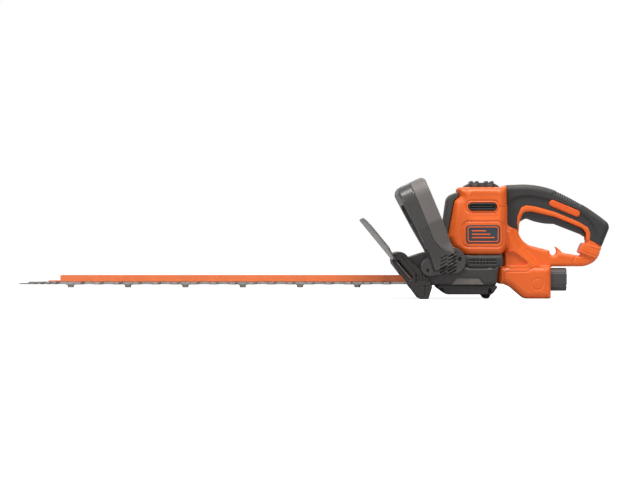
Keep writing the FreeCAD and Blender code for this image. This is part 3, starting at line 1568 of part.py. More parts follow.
# ---------------------------------------------------------------- power inlet
def power_inlet():
    body = Body("power_inlet")
    low, high, half, bevel = s.inlet_floor, s.inlet_top, s.inlet_half, s.inlet_chamfer
    body.add("X", [[
        (-half + bevel, low), (half - bevel, low), (half, low + bevel), (half, high - bevel),
        (half - bevel, high), (-half + bevel, high), (-half, high - bevel), (-half, low + bevel),
    ]], s.inlet_start_x, s.inlet_end_x)
    middle = (low + high) / 2
    tall = s.socket_half_height
    socket = rounded(-s.socket_half, s.socket_half, middle - tall, middle + tall, s.socket_round)
    body.cut("X", [socket], s.inlet_end_x - s.socket_depth, s.inlet_end_x)
    prongs = [prong_rectangle(side, middle) for side in SIDES.values()]
    floor_x = s.inlet_end_x - s.socket_depth
    body.cut("X", prongs, floor_x - s.prong_root, floor_x)
    body.done()
    blades = []
    for name, side in SIDES.items():
        inner_y, outer_y = (s.prong_spacing - s.prong_thick) / 2, (s.prong_spacing + s.prong_thick) / 2
        low_y, high_y = span(side, inner_y, outer_y)
        blades.append(block(f"prong_{name}", (floor_x - s.prong_root, low_y, middle - s.prong_height / 2),
                            (floor_x + s.prong_reach, high_y, middle + s.prong_height / 2)))
    keep("inlet_prongs", group("prongs", blades))


def prong_rectangle(side, middle):
    low_y, high_y = span(side, (s.prong_spacing - s.prong_thick) / 2, (s.prong_spacing + s.prong_thick) / 2)
    return rectangle(low_y, high_y, middle - s.prong_height / 2, middle + s.prong_height / 2)


# ---------------------------------------------------------------- covers, vents and plates
def vent_cap():
    """The domed cap on the motor's air inlet, with two grooved ribs across it."""
    body = Body("vent_cap")
    body.add("Y", [s.outline("cap")], -s.cap_half, s.cap_half)
    for x in (s.rib_front_x, s.rib_rear_x):
        half, groove = s.rib_width / 2, s.rib_groove / 2
        floor, top = s.cap_front_z, s.rib_top
        body.add("Y", [[
            (x - half, floor), (x + half, floor), (x + half, top), (x + groove, top),
            (x, top - s.rib_groove_depth), (x - groove, top), (x - half, top),
        ]], -s.rib_half, s.rib_half)
    return body.done()


def front_trim():
    body = Body("front_trim")
    body.add("Y", [s.outline("trim")], -s.trim_half, s.trim_half)
    return body.done()


def side_pair(label, loops, near, far):
    """The same flat piece on both sides of the tool, as one node of two solids."""
    halves = []
    for name, side in SIDES.items():
        body = Body(f"{label}_{name}")
        body.add("Y", loops, *span(side, near, far))
        halves.append(body.body)
    keep(label, group(f"{label}_set", halves))


def side_plates():
    floor = s.motor_half - s.vent_depth
    top_slot = pill(s.vent_x, s.vent_z + s.vent_height / 5, s.vent_length - 5, s.louvre_height)
    low_slot = pill(s.vent_x, s.vent_z - s.vent_height / 5, s.vent_length - 5, s.louvre_height)
    side_pair("motor_vents", [pill(s.vent_x, s.vent_z, s.vent_length, s.vent_height), top_slot, low_slot],
              floor, s.motor_half - 0.4)
    slots = [
        pill(s.grille_x, s.grille_z + s.grille_height * k / 6, s.grille_length - 10, s.louvre_height)
        for k in (-1, 1)
    ]
    side_pair("case_grilles", [pill(s.grille_x, s.grille_z, s.grille_length, s.grille_height), *slots],
              s.case_half - s.vent_depth, s.case_half - 0.4)
    side_pair("name_plates", [rounded(
        s.badge_x - s.badge_length / 2, s.badge_x + s.badge_length / 2,
        s.badge_z - s.badge_height / 2, s.badge_z + s.badge_height / 2, s.badge_round)],
        s.motor_half, s.motor_half + s.plate_proud)
    side_pair("label_plates", [s.outline("label")], s.case_half - s.vent_depth, s.case_half - 1.0)
    side_pair("grip_accents", [s.outline("accent")], s.frame_half, s.grip_half)


def case_screws():
    """Screws up through the bar's foot, and screws that hold the bottom cover."""
    thread = s.bar_screw_top
    head_top = s.bar_floor
    profile = [
        (0, head_top - s.screw_head_height), (s.screw_head_radius, head_top - s.screw_head_height),
        (s.screw_head_radius, head_top), (s.screw_radius, head_top), (s.screw_radius, thread), (0, thread),
    ]
    return keep("bar_screws", group("bar_screw_set", [
        turned(f"bar_screw_{i}", profile, x, y, 0) for i, (x, y) in enumerate(foot_screw_places())
    ]))


# ---------------------------------------------------------------- build, check and write
def build():
    blade("lower_blade", s.lower_tip_x, s.blade_floor)
    blade("upper_blade", s.lower_tip_x + s.upper_tip_lag, s.upper_blade_floor)
    blade_bar()
    blade_fasteners()
    gear_train()
    motor()
    motor_plate()
    gear_case()
    gear_cover()
    guard_bracket(guard())
    front_handle()
    for name, side in SIDES.items():
        housing(name, side)
        grip(name, side)
    housing_screws()
    rear_collar()
    trigger()
    power_switch()
    power_inlet()
    vent_cap()
    front_trim()
    side_plates()
    case_screws()


def check():
    """Stops with a list of what failed, before anything is written."""
    DOC.recompute()
    faults = [f"{o.Label}: {o.State}" for o in DOC.Objects if "Invalid" in o.State or "Error" in o.State]
    for label, thing in PIECES.items():
        shape = thing.Shape
        if shape.isNull() or not shape.isValid() or not shape.Solids:
            faults.append(f"{label}: null {shape.isNull()}, solids {len(shape.Solids)}")
    if faults:
        raise SystemExit("\n".join(faults))


def write():
    os.makedirs("parts", exist_ok=True)
    for label, thing in PIECES.items():
        thing.Shape.exportStep(os.path.join("parts", f"{label}.step"))
    print(len(PIECES), "sub-parts written")


build()
check()
write()
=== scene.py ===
import functools
import json
import math

import bmesh
import bpy
import numpy as np
import openvdb
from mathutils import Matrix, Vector


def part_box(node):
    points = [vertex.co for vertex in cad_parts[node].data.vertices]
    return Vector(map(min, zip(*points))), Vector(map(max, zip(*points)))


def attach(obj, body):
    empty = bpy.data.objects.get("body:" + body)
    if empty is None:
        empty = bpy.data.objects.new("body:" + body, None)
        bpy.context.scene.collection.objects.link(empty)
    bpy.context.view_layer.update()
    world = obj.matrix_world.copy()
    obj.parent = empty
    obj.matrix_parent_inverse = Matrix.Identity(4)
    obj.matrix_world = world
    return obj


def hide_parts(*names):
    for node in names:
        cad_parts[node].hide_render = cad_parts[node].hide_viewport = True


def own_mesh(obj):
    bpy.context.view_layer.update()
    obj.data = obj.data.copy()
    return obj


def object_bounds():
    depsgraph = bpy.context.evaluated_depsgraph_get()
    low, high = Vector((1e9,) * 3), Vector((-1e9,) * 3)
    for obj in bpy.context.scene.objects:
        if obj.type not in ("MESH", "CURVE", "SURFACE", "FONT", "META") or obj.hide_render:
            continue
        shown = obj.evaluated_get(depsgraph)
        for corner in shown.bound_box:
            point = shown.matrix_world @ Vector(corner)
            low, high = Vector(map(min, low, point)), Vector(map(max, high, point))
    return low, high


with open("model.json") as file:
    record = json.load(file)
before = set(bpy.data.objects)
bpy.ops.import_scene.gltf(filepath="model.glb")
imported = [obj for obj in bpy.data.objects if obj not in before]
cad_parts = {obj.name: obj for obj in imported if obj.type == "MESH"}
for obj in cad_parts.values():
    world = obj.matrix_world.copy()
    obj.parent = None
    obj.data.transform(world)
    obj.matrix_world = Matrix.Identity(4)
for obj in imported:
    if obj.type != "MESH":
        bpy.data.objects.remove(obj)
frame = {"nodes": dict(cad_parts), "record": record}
cad_box = [list(corner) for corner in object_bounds()]
nodes = frame["nodes"]

MM = 0.001

# ------------------------------------------------------------------ studio
# A white sweep with a large soft light overhead and softer ones in front and behind, as for a catalogue
# shot. The long lens looks level at the tool's left side.
bpy.context.scene.view_settings.view_transform = "Standard"
white = (1.0, 1.0, 1.0, 1.0)


def wire(tree, node, inputs):
    """Sets a shader node's inputs, each to a plain value or to the output that feeds it."""
    for label, value in inputs.items():
        if isinstance(value, bpy.types.NodeSocket):
            tree.links.new(value, node.inputs[label])
        else:
            node.inputs[label].default_value = value


def add(tree, kind, inputs=None, **settings):
    """A new shader node with its settings and inputs."""
    node = tree.nodes.new(f"ShaderNode{kind}")
    for label, value in settings.items():
        setattr(node, label, value)
    wire(tree, node, inputs or {})
    return node


def new_material(name):
    """A plain material, its node tree and its main shader."""
    made = bpy.data.materials.new(name)
    made.use_nodes = True
    return made, made.node_tree, made.node_tree.nodes["Principled BSDF"]


def shown_apart(tree, lighting, shown, output):
    """Lets one shader light the scene while the lens itself sees another."""
    seen = add(tree, "LightPath").outputs["Is Camera Ray"]
    either = add(tree, "MixShader", {0: seen, 1: lighting.outputs[0], 2: shown.outputs[0]})
    tree.links.new(either.outputs[0], tree.nodes[output].inputs["Surface"])


room = bpy.data.worlds.new("studio")
bpy.context.scene.world = room
room.use_nodes = True
lighting = room.node_tree.nodes["Background"]
wire(room.node_tree, lighting, {"Color": white, "Strength": 0.42})
backdrop = add(room.node_tree, "Background", {"Color": white, "Strength": 1.0})
shown_apart(room.node_tree, lighting, backdrop, "World Output")

floor_half = 12.0
floor_corners = [(x * floor_half, y * floor_half, 0.0) for x, y in ((-1, -1), (1, -1), (1, 1), (-1, 1))]
floor_mesh = bpy.data.meshes.new("studio_floor")
floor_mesh.from_pydata(floor_corners, [], [(0, 1, 2, 3)])
studio_floor = bpy.data.objects.new("studio_floor", floor_mesh)
bpy.context.scene.collection.objects.link(studio_floor)

floor_paint, tree, paint = new_material("floor_paint")
wire(tree, paint, {"Base Color": (0.5, 0.5, 0.5, 1.0), "Roughness": 0.9})
glow = add(tree, "Emission", {"Strength": 0.8})
lit_paint = add(tree, "AddShader", {0: paint.outputs[0], 1: glow.outputs[0]})
shown_apart(tree, paint, lit_paint, "Material Output")
floor_mesh.materials.append(floor_paint)

softbox_height = 0.5
for name, place, target, width, power in (
    ("overhead_softbox", (0.15, -0.55, 1.35), (0.2, 0.0, 0.1), 1.5, 21.0),
    ("front_softbox", (-0.9, -1.5, 0.6), (0.2, 0.0, 0.08), 0.5, 4.5),
    ("back_softbox", (0.4, 1.4, 1.1), (0.1, 0.0, 0.08), 1.4, 6.0),
):
    lamp = bpy.data.lights.new(name, "AREA")
    lamp.shape = "RECTANGLE"
    lamp.size, lamp.size_y = width, softbox_height
    lamp.energy = power
    holder = bpy.data.objects.new(name, lamp)
    holder.location = place
    holder.rotation_euler = (Vector(target) - Vector(place)).to_track_quat("-Z", "Y").to_euler()
    bpy.context.scene.collection.objects.link(holder)

view_distance, view_width, view_height, view_shift = 3.0, 0.928, 0.0845, 0.0087
lens = bpy.data.cameras.new("long_lens")
lens.sensor_width = 36.0
lens.lens = lens.sensor_width * view_distance / view_width
eye = bpy.data.objects.new("long_lens", lens)
eye.location = ((cad_box[0][0] + cad_box[1][0]) / 2 + view_shift, -view_distance, view_height)
eye.rotation_euler = (math.radians(90), 0.0, 0.0)
bpy.context.scene.collection.objects.link(eye)
bpy.context.scene.camera = eye

# ------------------------------------------------------------------ orange housing
# Two injection moulded halves in orange nylon, screwed together along the tool's middle plane. They hold
# the motor block, the web down to the plug cowl, and the frame inside the rear handle.


def cad_points(node):
    """A CAD node's corners and triangles."""
    mesh = nodes[node].data
    mesh.calc_loop_triangles()
    points = np.empty(len(mesh.vertices) * 3)
    mesh.vertices.foreach_get("co", points)
    corners = np.empty(len(mesh.loop_triangles) * 3, np.int32)
    mesh.loop_triangles.foreach_get("vertices", corners)
    return points.reshape(-1, 3), corners.reshape(-1, 3)


def loop_area(loop):
    """The area inside an outline."""
    x, y = loop[:, 0], loop[:, 1]
    return abs(np.sum(x * np.roll(y, -1) - y * np.roll(x, -1))) / 2


def holds(loop, spot):
    """Whether an outline goes round a spot."""
    x, y = loop[:, 0], loop[:, 1]
    next_x, next_y = np.roll(x, -1), np.roll(y, -1)
    with np.errstate(divide="ignore", invalid="ignore"):
        crossing = x + (next_x - x) * (spot[1] - y) / (next_y - y)
    return bool(np.sum(((y > spot[1]) != (next_y > spot[1])) & (crossing > spot[0])) % 2)


def slice_loops(node, axis, level, through=()):
    """The outer outlines where a plane across an axis cuts a CAD node, the largest first.

    A hole is kept only if it goes round one of the spots in through.
    """
    points, triangles = cad_points(node)
    others = [k for k in range(3) if k != axis]
    height = points[:, axis] - level
    follow = {}
    below = height[triangles] < 0
    for a, b, c in triangles[below.any(axis=1) & ~below.all(axis=1)]:
        crossings = []
        for p, q in ((a, b), (b, c), (c, a)):
            if (height[p] < 0) != (height[q] < 0):
                share = height[p] / (height[p] - height[q])
                spot = points[p] + (points[q] - points[p]) * share
                crossings.append(tuple(np.round(spot[others] / MM, 3)))
        if len(crossings) == 2 and crossings[0] != crossings[1]:
            follow.setdefault(crossings[0], []).append(crossings[1])
            follow.setdefault(crossings[1], []).append(crossings[0])
    loops = []
    while follow:
        spot = next(iter(follow))
        loop = [spot]
        while follow.get(spot):
            nxt = follow[spot].pop()
            if spot in follow.get(nxt, ()):
                follow[nxt].remove(spot)
            if not follow[spot]:
                del follow[spot]
            spot = nxt
            loop.append(spot)
        follow.pop(spot, None)
        if len(loop) > 3:
            loops.append(np.array(loop[:-1]) * MM)
    loops.sort(key=loop_area, reverse=True)
    kept = []
    for i, loop in enumerate(loops):
        outer = not any(holds(other, loop[0]) for other in loops[:i])
        if outer or any(holds(loop, spot) for spot in through):
            kept.append(loop)
    return kept


def outline_field(loops, across, up):
    """Signed distance from a grid of points to the loops: negative inside, shape (across, up)."""
    x, y = (v.astype(np.float32) for v in np.meshgrid(across, up, indexing="ij"))
    nearest = np.full(x.shape, 1e9, np.float32)
    inside = np.zeros(x.shape, bool)
    for loop in loops:
        for (ax, ay), (bx, by) in zip(loop, np.roll(loop, -1, axis=0)):
            ex, ey = bx - ax, by - ay
            share = np.clip(((x - ax) * ex + (y - ay) * ey) / max(ex * ex + ey * ey, 1e-12), 0, 1)
            gap = (x - ax - share * ex) ** 2 + (y - ay - share * ey) ** 2
            np.minimum(nearest, gap, out=nearest)
            if ay != by:
                inside ^= ((ay > y) != (by > y)) & (x < ex * (y - ay) / ey + ax)
    return np.where(inside, -1, 1) * np.sqrt(nearest)


def rounded_meet(a, b, radius):
    """The field of what lies in both a and b, with its shared edge rounded."""
    a, b = a + radius, b + radius
    return np.minimum(np.maximum(a, b), 0) + np.hypot(np.maximum(a, 0), np.maximum(b, 0)) - radius


def smooth_join(a, b, blend_length):
    """The field of what lies in a or b, with a soft fillet between them."""
    share = np.clip(0.5 + 0.5 * (b - a) / blend_length, 0, 1)
    return b + (a - b) * share - blend_length * share * (1 - share)


def relax(field, passes):
    """Softens a field's edges, in and out, by averaging neighbouring samples."""
    for _ in range(passes):
        for axis in range(field.ndim):
            moved = np.swapaxes(field, 0, axis)
            blurred = moved.copy()
            blurred[1:-1] = moved[:-2] * 0.25 + moved[1:-1] * 0.5 + moved[2:] * 0.25
            field = np.swapaxes(blurred, 0, axis)
    return np.ascontiguousarray(field)


class Block:
    """A box of sample points around a piece, on which its field is worked out and meshed."""

    def __init__(self, low, high, step):
        self.step = step * MM
        margin = 3 * self.step
        self.axes = [
            np.arange(low[k] - margin, high[k] + margin, self.step, dtype=np.float32) for k in range(3)
        ]
        self.x, self.y, self.z = self.axes
        self.X, self.Y, self.Z = self.x[:, None, None], self.y[None, :, None], self.z[None, None, :]
        self.start = np.array([axis[0] for axis in self.axes])

    def side(self, loops):
        """The field of outlines drawn in the XZ plane."""
        return outline_field(loops, self.x, self.z)[:, None, :]

    def cad(self, node, reach=6.0):
        """Signed distance to a CAD node's surface, true for some steps either side of it."""
        points, triangles = cad_points(node)
        points = ((points - self.start) / self.step).astype(np.float32)
        return self.sampled(openvdb.FloatGrid.createLevelSetFromPolygons(
            points, triangles=triangles.astype(np.uint32), halfWidth=reach
        ))

    def sampled(self, grid):
        field = np.empty([len(axis) for axis in self.axes], np.float32)
        grid.copyToArray(field)
        return field * self.step

    def filled(self, field, width):
        """The field with every slot and hollow narrower than a width closed."""
        reach = width / 2 * MM
        steps = reach / self.step
        grid = openvdb.FloatGrid(2 * steps)
        grid.copyFromArray(np.ascontiguousarray(field / self.step - steps, np.float32))
        points, triangles, quads = grid.convertToPolygons(isovalue=0.0, adaptivity=0.0)
        grown = openvdb.FloatGrid.createLevelSetFromPolygons(
            points, triangles=triangles, quads=quads, halfWidth=steps + 4
        )
        return np.minimum(field, self.sampled(grown) + reach)

    def mesh(self, name, field):
        """The piece's surface where the field is zero."""
        band = 4 * self.step
        grid = openvdb.FloatGrid(band)
        grid.copyFromArray(np.ascontiguousarray(np.clip(field, -band, band), np.float32))
        points, _, quads = grid.convertToPolygons(isovalue=0.0, adaptivity=0.0)
        return shell(name, points * self.step + self.start, quads)


def shell(name, points, faces):
    """A smooth shaded object from points and four-sided faces."""
    mesh = bpy.data.meshes.new(name)
    mesh.vertices.add(len(points))
    mesh.vertices.foreach_set("co", np.asarray(points, np.float32).ravel())
    mesh.loops.add(faces.size)
    mesh.loops.foreach_set("vertex_index", np.asarray(faces, np.int32).ravel())
    mesh.polygons.add(len(faces))
    mesh.polygons.foreach_set("loop_start", np.arange(0, faces.size, faces.shape[1], dtype=np.int32))
    mesh.update(calc_edges=True)
    mesh.validate()
    mesh.shade_smooth()
    made = bpy.data.objects.new(name, mesh)
    bpy.context.scene.collection.objects.link(made)
    return made


def mirrored(piece, name):
    """The same piece on the other side of the tool."""
    mesh = piece.data.copy()
    mesh.name = name
    points = np.empty(len(mesh.vertices) * 3, np.float32)
    mesh.vertices.foreach_get("co", points)
    points = points.reshape(-1, 3) * (1, -1, 1)
    mesh.vertices.foreach_set("co", points.ravel())
    mesh.flip_normals()
    made = bpy.data.objects.new(name, mesh)
    bpy.context.scene.collection.objects.link(made)
    return made


def ramp(field, depth, slope):
    """How deep a recess is: nothing outside its outline, the full depth a slope's length inside it."""
    return depth * np.clip(0.5 - field / slope, 0, 1)


def pill_field(block, low, high, grow=0.0):
    """The XZ field of a slot with round ends that fills a box."""
    radius = (high.z - low.z) / 2
    middle_z = (high.z + low.z) / 2
    x, z = np.meshgrid(block.x, block.z, indexing="ij")
    beyond = np.maximum(np.maximum(low.x + radius - x, x - high.x + radius), 0)
    return (np.hypot(beyond, z - middle_z) - radius - grow)[:, None, :]


def slab_field(block, low_x, high_x, low_z, high_z, radius=0.0):
    """The XZ field of a rectangle with round corners."""
    x, z = np.meshgrid(block.x, block.z, indexing="ij")
    across = np.abs(x - (low_x + high_x) / 2) - (high_x - low_x) / 2
    up = np.abs(z - (low_z + high_z) / 2) - (high_z - low_z) / 2
    return rounded_meet(across, up, radius)[:, None, :]


def stroke_field(block, spots, radius):
    """The XZ field of a line of one thickness through spots given in millimetres."""
    x, z = np.meshgrid(block.x, block.z, indexing="ij")
    nearest = np.full(x.shape, 1e9)
    for (ax, az), (bx, bz) in zip(spots, spots[1:]):
        ax, az, bx, bz = (v * MM for v in (ax, az, bx, bz))
        ex, ez = bx - ax, bz - az
        share = np.clip(((x - ax) * ex + (z - az) * ez) / (ex ** 2 + ez ** 2), 0, 1)
        nearest = np.minimum(nearest, np.hypot(x - ax - share * ex, z - az - share * ez))
    return (nearest - radius * MM)[:, None, :]


def tone(red, green, blue):
    """A swatch colour as the linear values that shaders use."""
    return tuple(((v / 255 + 0.055) / 1.055) ** 2.4 for v in (red, green, blue)) + (1.0,)


def shade(colour, factor):
    """A linear colour made darker or paler."""
    return tuple(min(v * factor, 1.0) for v in colour[:3]) + (1.0,)


def blended(tree, mask, under, over):
    """The output of a colour mix: under where the mask is 0, over where it is 1."""
    return add(tree, "Mix", {0: mask, 6: under, 7: over}, data_type="RGBA").outputs[2]


def product(tree, a, b):
    """The output of a times b."""
    return add(tree, "Math", {0: a, 1: b}, operation="MULTIPLY").outputs[0]


def within(tree, value, low, high, **settings):
    """The output of a value stretched so that low becomes 0 and high becomes 1, or as the settings say."""
    inputs = {"Value": value, "From Min": low, "From Max": high}
    inputs.update({label.replace("_", " ").title(): v for label, v in settings.items()})
    return add(tree, "MapRange", inputs).outputs[0]


def piece_noise(tree, size, detail, place=None):
    """Noise fixed to the piece, with features of a size in millimetres."""
    if place is None:
        place = add(tree, "TexCoord").outputs["Object"]
    scale = add(tree, "Math", {0: 1000.0, 1: size}, operation="DIVIDE").outputs[0]
    return add(tree, "TexNoise", {"Vector": place, "Scale": scale, "Detail": detail}).outputs[0]


def relief(tree, height, strength, depth):
    """A shader normal bent by a height, whose full depth is in millimetres."""
    return add(tree, "Bump", {"Height": height, "Strength": strength, "Distance": depth * MM}).outputs[0]


def effect(name, inputs, outputs):
    """An empty shader group with named sockets, its input node and its output node."""
    group = bpy.data.node_groups.new(name, "ShaderNodeTree")
    for label, value in inputs.items():
        group.interface.new_socket(label, in_out="INPUT", socket_type="NodeSocketFloat").default_value = value
    for label in outputs:
        group.interface.new_socket(label, in_out="OUTPUT", socket_type="NodeSocketFloat")
    return group, group.nodes.new("NodeGroupInput"), group.nodes.new("NodeGroupOutput")


def use(tree, group, **values):
    """The group placed in a material, with its inputs set."""
    node = tree.nodes.new("ShaderNodeGroup")
    node.node_tree = group
    for label, value in values.items():
        node.inputs[label.replace("_", " ").title()].default_value = value
    return node


moulded_grain, given, result = effect(
    "moulded_grain", {"Pitch": 1.0, "Cloud Size": 40.0}, ["Height", "Mottle"]
)
pits = piece_noise(moulded_grain, given.outputs["Pitch"], detail=2.0)
clouds = piece_noise(moulded_grain, given.outputs["Cloud Size"], detail=4.0)
wire(moulded_grain, result, {"Height": pits, "Mottle": clouds})

edge_wear, given, result = effect("edge_wear", {"Amount": 0.4, "Patch Size": 6.0}, ["Mask"])
form = add(edge_wear, "NewGeometry")
sharp = within(edge_wear, form.outputs["Pointiness"], 0.515, 0.58)
patches = piece_noise(edge_wear, given.outputs["Patch Size"], detail=5.0)
worn_off = product(edge_wear, sharp, within(edge_wear, patches, 0.4, 0.65))
wire(edge_wear, result, {"Mask": product(edge_wear, worn_off, given.outputs["Amount"])})

settled_dust, given, result = effect("settled_dust", {"Amount": 0.2, "Patch Size": 30.0}, ["Mask"])
form = add(settled_dust, "NewGeometry")
facing = add(settled_dust, "SeparateXYZ", {0: form.outputs["Normal"]})
upward = within(settled_dust, facing.outputs["Z"], 0.2, 1.0)
drifts = piece_noise(settled_dust, given.outputs["Patch Size"], detail=6.0)
lying = product(settled_dust, upward, drifts)
wire(settled_dust, result, {"Mask": product(settled_dust, lying, given.outputs["Amount"])})

pale_dust = tone(196, 186, 172)


def moulded(name, colour, roughness, pitch=0.7, depth=0.05, wear=0.3, dust=0.05, cloud=40.0, coat=0.0):
    """Moulded plastic: fine grain from the tool, cloudy colour, paler rubbed edges and dust on top faces."""
    made, tree, shader = new_material(name)
    grain = use(tree, moulded_grain, pitch=pitch, cloud_size=cloud)
    edges = use(tree, edge_wear, amount=wear)
    lying = use(tree, settled_dust, amount=dust)
    mottle = grain.outputs["Mottle"]
    base = blended(tree, mottle, shade(colour, 0.9), shade(colour, 1.1))
    base = blended(tree, edges.outputs["Mask"], base, shade(colour, 1.7))
    base = blended(tree, lying.outputs["Mask"], base, pale_dust)
    wire(tree, shader, {
        "Base Color": base,
        "Roughness": within(tree, mottle, 0.3, 0.7, to_min=roughness - 0.05, to_max=roughness + 0.07),
        "Normal": relief(tree, grain.outputs["Height"], 0.5, depth),
        "Coat Weight": coat,
        "Coat Roughness": 0.15,
    })
    return made


def dress(piece, body, material, replaced):
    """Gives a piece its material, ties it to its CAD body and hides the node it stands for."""
    piece.data.materials.clear()
    piece.data.materials.append(material)
    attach(piece, body)
    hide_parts(*replaced)


def dressed_pair(block, field, name, material, node):
    """A piece on the tool's left and its mirror image on the right, both tied to the frame."""
    left = block.mesh(f"left_{name}", field)
    pair = left, mirrored(left, f"right_{name}")
    for piece in pair:
        dress(piece, "frame", material, [node])
    return pair


def finish_nodes(material, *names):
    """Gives carried-over CAD nodes their material."""
    for name in names:
        holder = nodes[name]
        if not holder.material_slots:
            holder.data.materials.append(material)
        for place in holder.material_slots:
            place.material = material


def union(*fields):
    """The field of what lies in any of the fields."""
    return functools.reduce(np.minimum, fields)


def meet(*fields):
    """The field of what lies in all of the fields."""
    return functools.reduce(np.maximum, fields)


def cut(body, *fields):
    """The body without what lies in all of the fields."""
    return np.maximum(body, -meet(*fields))


def line_round(flat, away, half_width):
    """A line that follows a flat outline some millimetres outside it."""
    return np.abs(flat - away * MM) - half_width * MM


def scribe(field, flat, depth):
    """Cuts a groove of one depth into a piece's surface, wherever a flat drawing covers it."""
    return cut(field, flat, -field - depth * MM)


def one_side(block, body, side):
    """The part of a body on one side of the middle plane, with its parting edge rounded."""
    return rounded_meet(body, 0.12 * MM - side * block.Y, 0.8 * MM)


def frame_levels(node, side, block):
    """Outline, half width and edge radius of the motor block, cowl, web, handle frame and cord hook."""
    hand_hole = next(o for o in frame["record"]["physics"]["openings"] if o["name"] == "hand_hole_rear")
    middle = [sum(pair) / 2 for pair in zip(*hand_hole["box_m"])]
    slabs = []
    for half, radius in ((42.0, 11.0), (26.0, 9.0), (24.0, 11.0), (14.0, 5.0), (7.0, 2.0)):
        loops = slice_loops(node, 1, side * (half - 0.1) * MM, through=[(middle[0], middle[2])])
        slabs.append((block.side(loops), half * MM, radius * MM))
    return slabs


# The orange band that lines the hand opening shows between the trigger and the soft grip.
finger_band_half = 15.0 * MM
finger_band = np.array([
    (293.6, 106.7), (294.7, 118.9), (299.7, 131.1), (306.3, 133.9), (319.6, 132.2), (347.4, 124.4),
    (380.7, 110.6), (395.1, 102.2), (398.4, 93.4), (397.0, 82.0), (392.9, 84.0), (392.9, 94.5),
    (387.3, 101.1), (369.6, 108.9), (347.4, 117.8), (314.1, 125.5), (303.0, 125.0), (298.0, 116.7),
    (296.9, 107.8),
]) * MM


def housing_half(name, node, side):
    """One half of the housing, the left one with side -1 and the right one with side 1."""
    low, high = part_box(node)
    block = Block(low, high, 0.9)
    outward = np.abs(block.Y)
    slabs = frame_levels(node, side, block)
    motor, motor_half, motor_round = slabs[0]

    # The middle of the block stands proud between two soft pillars, with a step over the badge.
    pillar_drop, pillar_slope = 4.0 * MM, 8 * MM
    panel = slab_field(block, 0.2185, 0.2705, 0.055, 0.2, radius=0.004)
    crown = motor_half - pillar_drop * np.clip(0.5 + panel / pillar_slope, 0, 1)
    upper = slab_field(block, 0.224, 0.265, 0.1155, 0.152, radius=0.006)
    crown = crown - ramp(upper, depth=1.8 * MM, slope=6 * MM)
    cowl, web, bars, hook = (rounded_meet(flat, outward - half, radius) for flat, half, radius in slabs[1:])
    motor_block = rounded_meet(motor, outward - crown, motor_round)
    band = rounded_meet(block.side([finger_band]), outward - finger_band_half, 2.2 * MM)
    body = relax(union(motor_block, cowl, smooth_join(web, bars, 3 * MM), bars, hook, band), 3)

    # Recess of the louvre with a line round it, the line round the badge and the seam behind the louvre.
    vent_floor, motor_side, lower_side = 38.5 * MM, 36 * MM, 20 * MM
    vent_low, vent_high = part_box("motor_vents")
    vent = pill_field(block, vent_low, vent_high, grow=0.3 * MM)
    body = cut(body, vent, vent_floor - outward)
    body = scribe(body, meet(line_round(vent, 3.4, 0.8), motor_side - outward), 1.1)
    plate_low, plate_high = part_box("name_plates")
    edge = 5 * MM
    seat = slab_field(
        block, plate_low.x - edge, plate_high.x + edge, plate_low.z - edge, plate_high.z + edge, radius=0.009
    )
    body = scribe(body, meet(line_round(seat, 0.0, 0.9), motor_side - outward), 1.2)
    rear_seam = stroke_field(block, [(265.8, 132.2), (277, 132.2)], 0.75)
    body = scribe(body, meet(rear_seam, lower_side - outward), 1.1)

    # Inspection panel of the plug cowl with its ring, and the dotted four-sided recess above it.
    panel_line = [
        (272.8, 21), (272.8, 33.3), (274, 36.8), (278, 38.8), (306.4, 38.8), (309.4, 40), (312.9, 43.4),
        (317.5, 45.2), (327.2, 45.2), (331.6, 43.9), (334.3, 41), (335.6, 35.9), (335.6, 1),
    ]
    cowl_side = 4 * MM
    body = scribe(body, meet(stroke_field(block, panel_line, 0.75), cowl_side - outward), 1.1)
    ring_x, ring_z, ring_radius = 0.3216, 0.0212, 8.4 * MM
    ring = np.hypot(block.X - ring_x, block.Z - ring_z) - ring_radius
    body = scribe(body, meet(line_round(ring, 0.0, 0.75), lower_side - outward), 1.0)
    recess = np.array([(274.7, 66.0), (287.3, 67.6), (308.0, 52.4), (305.5, 47.6), (274.7, 47.6)]) * MM
    hollow = relax(block.side([recess]), 4)
    dot_height, dot_turn = 0.4 * MM, 1.9
    dots = dot_height * np.cos(block.X / MM * dot_turn) * np.cos(block.Z / MM * dot_turn)
    body = cut(body, hollow, lower_side + dots - outward)
    collar_line = [(374.5, 46), (373.5, 53), (377, 60)]
    body = scribe(body, stroke_field(block, collar_line, 0.7), 1.0)

    # The trigger swings in a slot between the two halves.
    slot_half, slot_front, slot_foot = 10.4 * MM, 0.290, 0.083
    inside = block.side(slice_loops(node, 1, side * 5 * MM))
    body = cut(body, outward - slot_half, slot_front - block.X, -inside, slot_foot - block.Z)

    # The screws' heads lie in round wells in the right half.
    if side > 0:
        head_level, well_radius, well_floor = 10.5 * MM, 3.6 * MM, 9.0 * MM
        for loop in slice_loops("housing_screws", 1, head_level):
            screw = loop.mean(axis=0)
            well = np.hypot(block.X - screw[0], block.Z - screw[1]) - well_radius
            body = cut(body, well, well_floor - outward)
    return block.mesh(name, one_side(block, body, side))


orange = moulded("orange_nylon", tone(240, 104, 30), 0.38, pitch=0.9, coat=0.12)
for name, node, side in (("left_shell", "left_housing", -1), ("right_shell", "right_housing", 1)):
    dress(housing_half(name, node, side), "frame", orange, [node])

# ------------------------------------------------------------------ soft grips
# Charcoal rubber moulded over the rear handle in two halves, with a ribbed patch behind the thumb and a
# hollow that follows the fingers.


def outer_edges(loops, neighbours, gap):
    """The straight runs of some outlines that stay clear of their neighbours' outlines."""
    runs = []
    for loop in loops:
        for a, b in zip(loop, np.roll(loop, -1, axis=0)):
            middle = (a + b) / 2
            if outline_field(neighbours, middle[:1], middle[1:])[0, 0] > gap:
                runs.append((a, b))
    return runs


